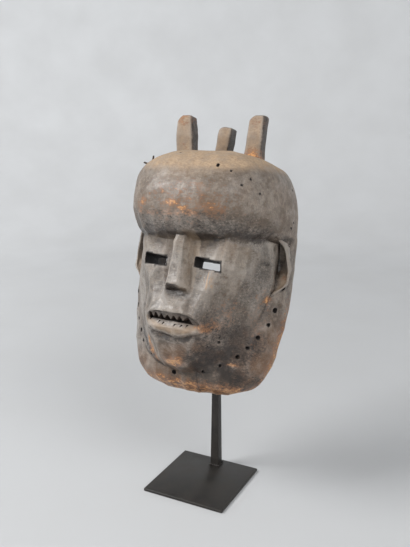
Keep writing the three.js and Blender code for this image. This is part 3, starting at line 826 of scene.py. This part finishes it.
def patina_and_painted_light_of(carving, places, normal, ends, cut):
    """Attributes of the patina and of the painted light and shade, each from 0 to 1: hollow where the surface
    is concave, edge where it is sharply convex, dust on what faces up together with painted light on some lit
    faces, worn where hands and edges have rubbed it, soot where smoke has darkened it together with painted
    shade where shade falls, warm where it is browner, scratched below the eye, crack in the collar, within on
    the inside and in the pockets under the face, painted dark as shade, and pit on the walls of small cuts,
    painted near black as shade."""
    near = spread(places, ends, 8)
    far = spread(near, ends, 70)
    fine, broad = (((mean - places) * normal).sum(-1) / MM for mean in (near, far))
    across, up, forward = carving.T
    side, half = np.abs(across), curve(FACE_HALF, up)
    facing_up = normal[:, 2]
    marks = {name: near_line(carving, line, width) * (forward > least)
             for name, (line, width, least) in MARK_LINES.items()}

    # Where each point lies: within the hollow or a cut, on a prong, in an ear, on the nose, a cheek's plane
    _, reach = hood_place(HOLLOW, carving)
    pocket = ramp(1.5, 5, face_forward(across, up) - forward)
    pocket *= ramp(3, 8, half - side) * (up > FACE_FOOT + 8) * (up < 176)
    pit = in_cuts(carving)
    within = np.maximum(ramp(1.16, 1.03, reach), np.maximum(pocket, pit))
    outside = 1 - within
    row, hood_reach = hood_place(HOOD, carving)
    on_prong = ramp(309, 315, up + 0.12 * np.abs(forward - 60)) * (hood_reach > 1.01)
    ear_place = (np.column_stack((side, up, forward)) - EAR_HOLLOW_MIDDLE) / np.array(EAR_HOLLOW_RADII)
    in_ear = ramp(1.25, 1.05, np.linalg.norm(ear_place, axis=-1))
    in_ear *= (side > 97.5) * ramp(0.1, -0.2, np.sign(across) * normal[:, 0]) * outside
    by_nose = (side < 22) * ramp(112, 122, up) * ramp(196, 186, up) * (forward > 100)
    share = (half - across) / (half - curve(FRONT_HALF, up))
    inner_plane = ramp(1 - RIDGE_PLACE - 0.03, 1 - RIDGE_PLACE + 0.03, share) * (share < 1.1) * (forward > 40)
    inner_plane *= ramp(196, 190, up) * ramp(110, 140, up)
    outer_plane = (share < 1 - RIDGE_PLACE) * ramp(200, 180, up) * ramp(100, 130, up) * (forward > 40)
    headdress = ramp(196, 214, up) * (hood_reach < 1.05) * (1 - on_prong)

    hollow = (np.clip(0.45 * broad - 0.1, 0, 0.9) + np.clip(4 * fine, 0, 0.9)) * (1 - 0.8 * by_nose)
    edge = np.clip(-2.4 * fine - 0.3, 0, 1) + 0.6 * ramp(1.0, 1.9, cut)

    # Dust on what faces up, at the foot of the collar, on the lower teeth's ledge and faintly over the
    # headdress, and painted light: the lower halves of the ears, the right side of the nose and the inner
    # cheek planes are painted lighter where light falls on them. The prongs' fronts and a band from the eyes
    # up to the brow are lighter too.
    dust_and_painted_light = ramp(0.52, 0.85, facing_up) * ramp(228, 250, up) * (1 - 0.8 * on_prong)
    dust_and_painted_light += 0.6 * on_prong * ramp(0.6, 0.9, -normal[:, 1])
    dust_and_painted_light += 0.1 * ramp(40, 12, up) * ramp(75, 40, side) * ramp(20, 40, forward)
    dust_and_painted_light += 0.15 * ramp(150, 178, up) * (forward > 70) * (up < 184)
    dust_and_painted_light += 0.55 * marks["ledge"] + 0.6 * in_ear * ramp(182, 160, up)
    dust_and_painted_light += 0.25 * by_nose * ramp(4, 11, across) + 0.1 * inner_plane + 0.07 * headdress

    rim = ramp(32, 6, forward) * ramp(200, 80, up) * (1 - 0.3 * within)
    foot_rim = ramp(20, 5, up - 0.05 * side) * ramp(0, 12, forward) * outside
    worn = 0.8 * np.maximum(rim, foot_rim)
    for place, size, strength in WORN_PLACES:
        distance = np.linalg.norm((carving - place) / size, axis=-1)
        worn = np.maximum(worn, strength * ramp(1.45, 0.3, distance))

    # Painted shade, kept with the soot: the band under the headdress and the faces below it that turn down,
    # the jaw's crease, the lower and outer right cheek, the feet of the nose and of the lower lip, the brow
    # line, the upper halves of the ears and the right sides of the prongs. The collar is darker towards its
    # foot, the upper teeth are darker, and the prongs are darker towards their feet.
    band = ramp(1.07, 1.02, np.abs(hood_reach - 1) + 1) * ramp(45, 75, forward)
    band *= ramp(8.6, 9, row) * ramp(12.9, 12.1, row) * (0.42 + 0.53 * ramp(11.8, 10.4, row))
    under = ramp(0.12, -0.25, facing_up) * ramp(188, 196, up) * ramp(240, 225, up)
    jaw = np.minimum(1.25 * marks["jaw"] * ramp(108, 82, forward), 1) * ramp(2, 24, across)
    cheek = 0.7 * ramp(135, 62, up) * ramp(0, 55, across) * ramp(30, 50, forward) + 0.3 * outer_plane
    cheek += 0.68 * ramp(46, 22, up) * ramp(-60, 10, across)
    facing_down = -(normal @ TURN)[:, 1]
    nostrils = ramp(0.3, 0.6, facing_down) * (side < 19) * (forward > 105) * (np.abs(up - 119) < 5)
    soot_and_shade = np.maximum.reduce((
        band, 0.5 * under, 0.95 * jaw, 0.8 * marks["left_jaw"] * ramp(66, 56, forward), cheek,
        marks["lip_foot"], 0.25 * in_ear * ramp(158, 172, up), nostrils, 0.7 * marks["nose_foot"],
        0.75 * marks["teeth"], 0.8 * on_prong * ramp(0.45, 0.8, normal[:, 0]), 0.5 * marks["brow"],
        0.45 * on_prong * ramp(345, 322, up),
    ))

    warm = 0.9 * ramp(150, 40, up) * ramp(-60, 50, across) + 0.8 * ramp(66, 20, up)
    warm = (warm + 0.35 * ramp(60, 15, forward)) * (1 - ramp(190, 210, up)) + 0.5 * ramp(195, 212, up)
    place, size = SCRATCHES
    return {
        "hollow": spread(hollow * (1 - 0.6 * in_ear), ends, 1)[:, 0],
        "edge": spread(edge, ends, 1)[:, 0] * outside,
        "dust_and_painted_light": dust_and_painted_light * outside,
        "worn": worn,
        "soot_and_shade": soot_and_shade * outside,
        "warm": warm,
        "scratched": ramp(1.2, 0.6, np.linalg.norm((carving[:, :2] - place) / size, axis=-1)),
        "crack": near_line(carving, CRACK, 1.5) * ramp(10, 20, forward) * outside,
        "within": within,
        "pit": pit,
    }


# Materials

# Nodes by what they do: Blender's name, settings, the inputs that values go to in turn, and the output used
NODES = {
    "mix": ("ShaderNodeMix", {"data_type": "RGBA"}, (0, 6, 7), 2),
    "stretch": ("ShaderNodeMapRange", {}, (0, 1, 2, 3, 4), 0),
    "place": ("ShaderNodeMapping", {}, ("Vector", "Scale"), 0),
    "turn": ("ShaderNodeMapping", {"vector_type": "TEXTURE"}, ("Vector", "Location", "Rotation"), 0),
    "noise": ("ShaderNodeTexNoise", {}, ("Vector", "Scale", "Detail", "Roughness"), 0),
    "bump": ("ShaderNodeBump", {}, ("Strength", "Distance", "Height"), 0),
    "attribute": ("ShaderNodeAttribute", {}, (), "Fac"),
    "coordinates": ("ShaderNodeTexCoord", {}, (), "Object"),
    "axes": ("ShaderNodeSeparateXYZ", {}, (0,), 0),
}
for operation in ("add", "subtract", "multiply", "maximum", "sqrt"):
    NODES[operation] = ("ShaderNodeMath", {"operation": operation.upper()}, (0, 1), 0)


def linear(colour):
    """Linear colour with alpha of an sRGB hex colour."""
    parts = [int(colour.lstrip("#")[k : k + 2], 16) / 255 for k in (0, 2, 4)]
    return (*[p / 12.92 if p <= 0.04045 else ((p + 0.055) / 1.055) ** 2.4 for p in parts], 1.0)


def feed(node, inputs):
    """Gives each input of a node its value, which is another node's socket or a constant."""
    for key, value in inputs.items():
        if isinstance(value, bpy.types.NodeSocket):
            node.id_data.links.new(value, node.inputs[key])
        else:
            node.inputs[key].default_value = value


def add(tree, kind, *values, **settings):
    """Adds a node of one of the kinds above, feeds it the values, and gives the output that is used."""
    name, fixed, inputs, output = NODES[kind]
    node = tree.nodes.new(name)
    for key, value in {**fixed, **settings}.items():
        setattr(node, key, value)
    feed(node, dict(zip(inputs, values)))
    return node.outputs[output]


def pattern(node, place, size, detail=3.0, rough=0.55, stretch=(1, 1, 1)):
    """Noise whose lumps are about size millimetres wide, stretched along the carving's axes."""
    scaled = node("place", place, tuple(1 / (axis * size * MM) for axis in stretch))
    return node("noise", scaled, 1.0, detail, rough)


def carving_place(node):
    """Object coordinates turned to the carving's own frame, in metres, so that the grain runs up the
    mask."""
    foot = tuple(value * MM for value in RIM_FOOT)
    return node("turn", node("coordinates"), foot, (math.pi / 2 - LEAN, 0, 0))


def new_material(name):
    """Material with a principled shader, and a function that adds nodes to it."""
    material = bpy.data.materials.new(name)
    material.use_nodes = True
    tree = material.node_tree
    tree.nodes.clear()
    shader = tree.nodes.new("ShaderNodeBsdfPrincipled")
    tree.links.new(shader.outputs[0], tree.nodes.new("ShaderNodeOutputMaterial").inputs[0])
    return material, partial(add, tree), shader


def patinated_hardwood(colours):
    """Dense carved wood under an old handled patina of smoke and oil. It gives the eye a grey-brown skin with
    a faint sheen on its flat cuts, beige dust on top, dark hollows, and warm orange wood where the skin has
    worn. Painted shade darkens the headdress's underside, the jaw, the lower cheeks, the feet of the nose and
    lip, the inside and the cuts, and painted light brightens the ridges, the nose's right side, the lower
    ears and the inner cheek planes."""
    material, node, shader = new_material("patinated_hardwood")
    place = carving_place(node)
    names = ("hollow", "edge", "dust_and_painted_light", "worn", "soot_and_shade", "warm", "scratched", "crack", "within", "pit", "facet")
    known = {name: node("attribute", attribute_name=name) for name in names}

    # Lumps in millimetres. Real grain, pores and hairs are finer: these are as coarse as they need to show.
    cloud = pattern(node, place, 42, 4, 0.6)
    blotch = pattern(node, place, 12, 5, 0.62, (1, 1.3, 1))
    mottle = pattern(node, place, 5, 4, 0.6, (1.6, 1, 1))
    fleck = pattern(node, place, 2.2, 4, 0.7, (1.5, 1, 1))
    grain = pattern(node, place, 1.1, 3, 0.6, (1, 9, 1))
    pores = pattern(node, place, 0.9, 2, 0.5, (1, 2, 1))
    streak = pattern(node, place, 1.2, 1, 0.4, (1, 40, 1))
    hair = pattern(node, place, 0.7, 2, 0.5, (22, 1, 3))

    # Tones over the skin's own colour: what places each, the values between which it grows, its most, itself
    warmth = node("add", known["warm"], node("stretch", cloud, 0.3, 0.7, -0.35, 0.45), use_clamp=True)
    colour = node("mix", warmth, linear(colours.patina), linear("#654F3B"))
    tones = (
        (cloud, 0.5, 0.28, 0.4, "#7D7771"),
        (known["facet"], 0.5, 0.0, 0.5, "#453C35"),
        (known["facet"], 0.5, 1.0, 0.4, "#A79D94"),
        (mottle, 0.5, 0.66, 0.75, "#50443A"),
        (blotch, 0.5, 0.68, 0.7, "#463C34"),
        (blotch, 0.5, 0.3, 0.65, "#968C82"),
        (mottle, 0.48, 0.32, 0.55, "#918375"),
        (grain, 0.5, 0.72, 0.45, "#3A3029"),
        (fleck, 0.58, 0.72, 0.65, "#A99B8D"),
        (pores, 0.64, 0.76, 0.7, "#2E2621"),
        (hair, 0.56, 0.7, 0.4, "#453B33"),
        (hair, 0.4, 0.3, 0.14, "#B4A491"),
        (known["warm"], 0.5, 1.0, 0.3, "#7A5233"),
    )
    for sign, low, high, most, tone in tones:
        colour = node("mix", node("stretch", sign, low, high, 0, most), colour, linear(tone))

    # Soot, the patina of the hollows and the painted shade all take the dark patina colour, broken up by
    # blotches and flecks.
    soot_and_shade = node("maximum", known["soot_and_shade"], node("multiply", known["hollow"], 0.85))
    soot_and_shade = node("multiply", soot_and_shade, node("stretch", blotch, 0.3, 0.65, 1.25, 0.75), use_clamp=True)
    partly = node("multiply", soot_and_shade, node("subtract", 1.0, soot_and_shade))
    for sign, most in ((fleck, 1.7), (mottle, 1.5)):
        soot_and_shade = node("add", soot_and_shade, node("multiply", partly, node("stretch", sign, 0.3, 0.7, most, -most)))
    colour = node("mix", soot_and_shade, colour, linear(colours.dark_patina_and_shade))

    # The dust colour covers the dust and the painted light on lit faces.
    dust_and_light_mask = node("multiply", known["dust_and_painted_light"], node("stretch", blotch, 0.35, 0.65, 0.6, 1.2), use_clamp=True)
    dust_and_painted_light = node("mix", node("stretch", fleck, 0.4, 0.65), linear(colours.dust_and_painted_light), linear("#957D64"))
    colour = node("mix", dust_and_light_mask, colour, dust_and_painted_light)

    rub = node("add", known["worn"], node("stretch", fleck, 0.3, 0.7, -0.5, 0.38))
    rub = node("add", rub, node("stretch", mottle, 0.3, 0.7, -0.35, 0.3))
    rub = node("add", rub, node("multiply", known["edge"], 0.15))
    rubbed = node("stretch", rub, 0.25, 0.85, 0, 0.9)
    bare = node("mix", node("stretch", fleck, 0.4, 0.68), linear(colours.worn), linear("#6E4A31"))
    bare = node("mix", node("stretch", rub, 0.75, 1.1), bare, linear("#D39A5E"))
    colour = node("mix", rubbed, colour, bare)

    # Painted highlight: a paler tone along the sharp ridges, weaker where soot and shade lie.
    shine = node("multiply", known["edge"], node("stretch", blotch, 0.4, 0.6, 0.2, 0.6))
    shine = node("multiply", shine, node("stretch", soot_and_shade, 0.2, 0.9, 1, 0.25))
    scratch = node("multiply", known["scratched"], node("stretch", streak, 0.52, 0.58))
    # Painted shade: the inside of the hood and the pockets under the face are painted dark brown, and the
    # walls of the holes, cuts and eye slits near black.
    inner = node("mix", node("stretch", blotch, 0.35, 0.65), linear("#231A15"), linear("#423126"))
    coats = (
        (shine, 1, linear("#A79D93")),
        (scratch, 0.6, linear("#A98560")),
        (known["crack"], 0.8, linear("#1F1814")),
        (known["within"], 0.94, inner),
        (known["pit"], 0.85, linear("#0E0A08")),
    )
    for sign, most, tone in coats:
        colour = node("mix", node("multiply", sign, most), colour, tone)

    roughness = node("stretch", blotch, 0.3, 0.7, 0.3, 0.46)
    roughness = node("add", roughness, node("stretch", known["facet"], 0.0, 1.0, 0.06, -0.06))
    roughness = node("add", roughness, node("multiply", dust_and_light_mask, 0.35))
    roughness = node("add", roughness, node("multiply", known["within"], 0.3), use_clamp=True)

    open_pores = node("stretch", pores, 0.64, 0.76)
    relief = node("multiply", grain, 0.25)
    for sign, high in ((fleck, 0.7), (mottle, 0.8), (open_pores, -0.5), (rubbed, -0.25)):
        relief = node("add", relief, node("multiply", sign, high))
    bump = node("bump", 0.6, 0.0008, relief)
    feed(shader, {"Base Color": colour, "Roughness": roughness, "IOR": 1.55, "Normal": bump})
    return material


def blackened_peg_wood():
    """Hard splinter blackened by smoke. It gives the eye a near-black fibrous stub with paler fibres."""
    material, node, shader = new_material("blackened_peg_wood")
    fibre = pattern(node, carving_place(node), 0.5, 3, 0.6, (1, 1, 3))
    colour = node("mix", node("stretch", fibre, 0.4, 0.7), linear("#1E1815"), linear("#5B4A3C"))
    feed(shader, {"Base Color": colour, "Roughness": 0.8, "Normal": node("bump", 0.6, 0.0003, fibre)})
    return material


def waxed_black_steel(colours):
    """Hot-rolled mild steel, blackened and waxed. It gives the eye a soft grey-black sheen with cloudy
    mottling, fine dust and a few bright scuffs."""
    material, node, shader = new_material("waxed_black_steel")
    cloud = pattern(node, node("coordinates"), 26, 4, 0.6)
    speck = pattern(node, node("coordinates"), 1.3, 3, 0.6)
    colour = node("mix", node("stretch", cloud, 0.35, 0.7), linear(colours.steel), linear("#3B3733"))
    colour = node("mix", node("stretch", speck, 0.62, 0.78, 0, 0.6), colour, linear("#6C6660"))
    roughness = node("stretch", cloud, 0.3, 0.7, 0.36, 0.52)
    bump = node("bump", 0.25, 0.0002, speck)
    feed(shader, {"Base Color": colour, "Roughness": roughness, "Metallic": 0.35, "Normal": bump})
    return material


def painted_backdrop(colour):
    """Matt paper of a studio sweep. It gives the eye a pale grey with a hardly visible mottle, and painted
    light makes it lighter to the left, further out and higher up."""
    material, node, shader = new_material("matt_studio_paper")
    coordinates = node("coordinates")
    x, y, z = node("axes", coordinates).node.outputs
    radius = node("sqrt", node("add", node("multiply", x, x), node("multiply", y, y)))
    # Painted light: the paper's colour is lighter to the left, further out and higher up, as where the light
    # falls.
    beside = node("stretch", x, -1.6, 0.0)
    outer = node("mix", beside, linear("#E0E1E2"), linear("#D7D8D9"))
    upper = node("mix", beside, linear("#E8E9EA"), linear("#D9DADB"))
    paper = node("mix", node("stretch", radius, 0.5, 1.7), linear(colour), outer)
    paper = node("mix", node("stretch", z, 0.05, 0.5), paper, upper)
    mottle = pattern(node, coordinates, 180, 3, 0.5)
    paper = node("mix", node("stretch", mottle, 0.35, 0.7, 0, 0.2), paper, linear("#BDBDBC"))
    feed(shader, {"Base Color": paper, "Roughness": 0.85})
    return material


# Pieces


def finish_piece(piece, material):
    """Gives a piece its material, smooth shading with sharp edges, and the body that it rides on."""
    piece.data.materials.clear()
    piece.data.materials.append(material)
    piece.data.shade_smooth()
    piece.data.set_sharp_from_angle(angle=SMOOTH_ANGLE)
    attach(piece, BODY)


class CarveMask(bpy.types.Operator):
    """Carves the mask as one piece and gives it its patina, with its painted light and shade"""

    bl_idname = "dance_mask.carve_mask"
    bl_label = "Carve mask"

    def execute(self, context):
        sizes = context.scene.mask_sizes
        edge = sizes.rim_round / MM
        body = hood_solid("mask_carving", carved_outside, OUTSIDE_GRID, edge, outwards=-1, back=0)
        hollow = hood_solid("hollow_cut", carved_inside, HOLLOW_GRID, 0.7 * edge, outwards=1, back=-1)
        steps = (
            ("DIFFERENCE", (ear_hollow(side) for side in (1, -1))),
            ("UNION", (ear_flap(side) for side in (1, -1))),
            ("UNION", (prong(*values) for values in PRONGS)),
            ("DIFFERENCE", (tooth_gap(), *(tooth_cut(*middle) for middle in TOOTH_CUTS))),
            ("DIFFERENCE", (eye_slit(*values) for values in EYES)),
            ("DIFFERENCE", (hollow, *bores())),
        )
        mask = combined(body, [(tool, operation) for operation, tools in steps for tool in tools])
        blade_work(mask, sizes)
        finish_piece(mask, patinated_hardwood(context.scene.mask_colours))
        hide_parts("mask")
        return {"FINISHED"}


def splinter(name, place, direction):
    """Peg: rings along a slightly bent line, thinner and ragged towards the free end."""
    direction = unit(np.array(direction))
    side = unit(np.cross(direction, (0.2, 0.1, 1)))
    other = np.cross(direction, side)
    t = np.linspace(0, 1, 22)[:, None, None]
    angle = full_turn(18)[:, None]
    along = -PEG_INTO + t * (PEG_INTO + PEG_OUT)
    radius = PEG_DIAMETER / 2 * (1 - 0.2 * ramp(0.8, 1, t)) * (0.94 + 0.06 * np.sin(3 * angle + 9 * t))
    bend = 0.5 * ramp(0.6, 1, t) ** 2
    rings = np.array(place) + direction * along + other * bend
    return tube_solid(name, rings + radius * (np.cos(angle) * side + np.sin(angle) * other))


class SetPegs(bpy.types.Operator):
    """Sets the two small pegs into the upper left of the headdress"""

    bl_idname = "dance_mask.set_pegs"
    bl_label = "Set pegs"

    def execute(self, context):
        material = blackened_peg_wood()
        for name, (place, direction) in PEGS.items():
            piece = splinter(f"{name}_splinter", place, direction)
            finish_piece(piece, material)
            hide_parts(name)
        return {"FINISHED"}


def rounded_square(half, corner, z, centre_y, steps=6):
    """Ring of a level square with round corners."""
    quarter = np.linspace(0, math.pi / 2, steps)
    angle = (np.arange(4)[:, None] * math.pi / 2 + quarter).ravel()
    sign_x, sign_y = np.repeat((1, -1, -1, 1), steps), np.repeat((1, 1, -1, -1), steps)
    x = sign_x * (half - corner) + corner * np.cos(angle)
    y = centre_y + sign_y * (half - corner) + corner * np.sin(angle)
    return np.column_stack((x, y, np.full(len(x), z)))


def in_metres(points):
    """Points in millimetres moved to metres."""
    return points * MM


def node_box(name):
    """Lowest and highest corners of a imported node, in millimetres."""
    low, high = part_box(name)
    return np.array(low) / MM, np.array(high) / MM


def plate_piece():
    """Square plate: rounded squares that follow a profile with soft edges, closed above and below."""
    low, high = node_box("base_plate")
    half, top = high[0], high[2]
    profile = ((-0.8, 0), (-0.25, 0.2), (0, 0.7), (0, top - 1), (-0.2, top - 0.35), (-0.7, top))
    rings = [rounded_square(half + inset, 1.2, z, (low[1] + high[1]) / 2) for inset, z in profile]
    return tube_solid("plate_sheet_steel", np.stack(rings), move=in_metres)


def post_piece():
    """Square post: rounded squares that narrow upwards."""
    low, high = node_box("post")
    foot, head, middle = (high[0] - low[0]) / 2, 3.5, (low[1] + high[1]) / 2
    halves, heights = np.linspace((foot, low[2]), (head, high[2]), 24).T
    rings = [rounded_square(half, 0.7, z, middle) for half, z in zip(halves, heights)]
    return tube_solid("post_bar_steel", np.stack(rings), move=in_metres)


def weld_piece():
    """Weld bead round the foot of the post: circles of a rippled radius along a rounded square."""
    low, high = node_box("post")
    path = rounded_square(high[0] + 0.7, 1.6, low[2] + 0.5, (low[1] + high[1]) / 2, steps=14)
    centre = path.mean(0)
    path = np.concatenate((path, path[:1]))
    reach = np.concatenate(((0,), np.cumsum(np.linalg.norm(np.diff(path, axis=0), axis=-1))))
    at = np.linspace(0, reach[-1], 161)[:-1]
    middle = np.stack([np.interp(at, reach, column) for column in path.T], -1)
    out = unit((middle - centre) * (1, 1, 0))
    angle = full_turn(12)[:, None]
    radius = 1.15 + 0.22 * np.sin(at * 2.1) + 0.15 * wander(middle, 4, 3)
    circle = out[:, None] * np.cos(angle) + np.array((0, 0, 1)) * np.sin(angle)
    points = middle[:, None] + radius[:, None, None] * circle
    quads = grid_faces(len(points) + 1, 12, closed=True) % (len(points) * 12)
    return new_piece("weld_bead_steel", points * MM, quads)


class BuildStand(bpy.types.Operator):
    """Builds the square plate, the tapered post with its weld, and finishes the cradle"""

    bl_idname = "dance_mask.build_stand"
    bl_label = "Build stand"

    def execute(self, context):
        material = waxed_black_steel(context.scene.mask_colours)
        pieces = {"base_plate": plate_piece(), "post": post_piece(), None: weld_piece()}
        for node, piece in pieces.items():
            finish_piece(piece, material)
            if node:
                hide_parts(node)
        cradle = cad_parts["cradle"]
        cradle.data.materials.clear()
        cradle.data.materials.append(material)
        return {"FINISHED"}


# Stage


def aim(thing, direction):
    """Turns a light or camera so that it faces the given way, and puts it in the scene."""
    thing.rotation_euler = Vector(direction).to_track_quat("-Z", "Y").to_euler()
    bpy.context.scene.collection.objects.link(thing)


def area_light(name, place, size, power):
    """Square soft light that faces the middle of the mask."""
    light = bpy.data.lights.new(name, "AREA")
    light.shape = "SQUARE"
    light.size = size
    light.energy = power
    lamp = bpy.data.objects.new(name, light)
    lamp.location = place
    aim(lamp, Vector(LIT_POINT) - Vector(place))


def studio_cove(sizes):
    """Floor and backdrop in one: a profile of a level line, a quarter circle and an upright, turned about
    the middle."""
    floor, bend = sizes.floor_radius, sizes.cove_radius
    quarter = np.linspace(0, math.pi / 2, 20)[1:]
    profile = np.concatenate((
        np.column_stack((np.linspace(0.002, floor, 12), np.zeros(12))),
        np.column_stack((floor + bend * np.sin(quarter), bend * (1 - np.cos(quarter)))),
        ((floor + bend, 1.6), (floor + bend, 2.4)),
    ))
    out, up = profile[:, :1], profile[:, 1:]
    angle = full_turn(96)
    points = np.stack((out * np.cos(angle), out * np.sin(angle), up + 0 * angle), -1)
    quads = grid_faces(len(profile), 96, closed=True)
    cove = new_piece("studio_cove", points, quads, [np.arange(96)[::-1]], closed=False)
    cove.data.materials.append(painted_backdrop(sizes.backdrop))
    cove.data.shade_smooth()


def photo_camera():
    """Camera at the photograph's place. The sensor's width spans the longer side of the frame, its
    height."""
    data = bpy.data.cameras.new("photo_camera")
    data.sensor_width = 36
    data.lens = data.sensor_width * FOCAL_PIXELS / VIEW_HEIGHT
    data.clip_start, data.clip_end = 0.01, 50
    camera = bpy.data.objects.new("photo_camera", data)
    camera.location = Vector(CAMERA_PLACE) * MM
    level = math.cos(CAMERA_PITCH)
    aim(camera, (-math.sin(CAMERA_PAN) * level, math.cos(CAMERA_PAN) * level, -math.sin(CAMERA_PITCH)))
    bpy.context.scene.camera = camera


class LightStage(bpy.types.Operator):
    """Sets up the pale floor, the soft light and the photograph's camera"""

    bl_idname = "dance_mask.light_stage"
    bl_label = "Light stage"

    def execute(self, context):
        sizes = context.scene.stage_sizes
        studio_cove(sizes)
        photo_camera()
        for name, (place, size, share) in SOFTBOXES.items():
            area_light(name, place, size, share * sizes.key_power)
        world = bpy.data.worlds.new("soft_room")
        context.scene.world = world
        world.use_nodes = True
        feed(world.node_tree.nodes["Background"], {"Color": linear(ROOM_COLOUR), "Strength": ROOM_STRENGTH})
        context.scene.view_settings.view_transform = "Standard"
        return {"FINISHED"}


class DanceMaskPanel(bpy.types.Panel):
    """Lists the mask's sizes, colours and making steps"""

    bl_idname = "VIEW3D_PT_dance_mask"
    bl_label = "Dance mask"
    bl_space_type = "VIEW_3D"
    bl_region_type = "UI"
    bl_category = "Dance mask"

    def draw(self, context):
        layout = self.layout
        for group, title in (("mask_sizes", "Carving"), ("mask_colours", "Finish"), ("stage_sizes", "Stage")):
            box = layout.box()
            box.label(text=title)
            settings = getattr(context.scene, group)
            for name in settings.__annotations__:
                box.prop(settings, name)
        for operator in OPERATORS:
            layout.operator(operator.bl_idname)


OPERATORS = (CarveMask, SetPegs, BuildStand, LightStage)
GROUPS = {"mask_sizes": MaskSizes, "mask_colours": MaskColours, "stage_sizes": StageSizes}


def register():
    for cls in (*GROUPS.values(), *OPERATORS, DanceMaskPanel):
        bpy.utils.register_class(cls)
    for name, group in GROUPS.items():
        setattr(bpy.types.Scene, name, bpy.props.PointerProperty(type=group))


def unregister():
    for name in GROUPS:
        delattr(bpy.types.Scene, name)
    for cls in reversed((*GROUPS.values(), *OPERATORS, DanceMaskPanel)):
        bpy.utils.unregister_class(cls)


def main():
    register()
    bpy.ops.dance_mask.carve_mask()
    bpy.ops.dance_mask.set_pegs()
    bpy.ops.dance_mask.build_stand()
    bpy.ops.dance_mask.light_stage()


if __name__ == "__main__":
    main()
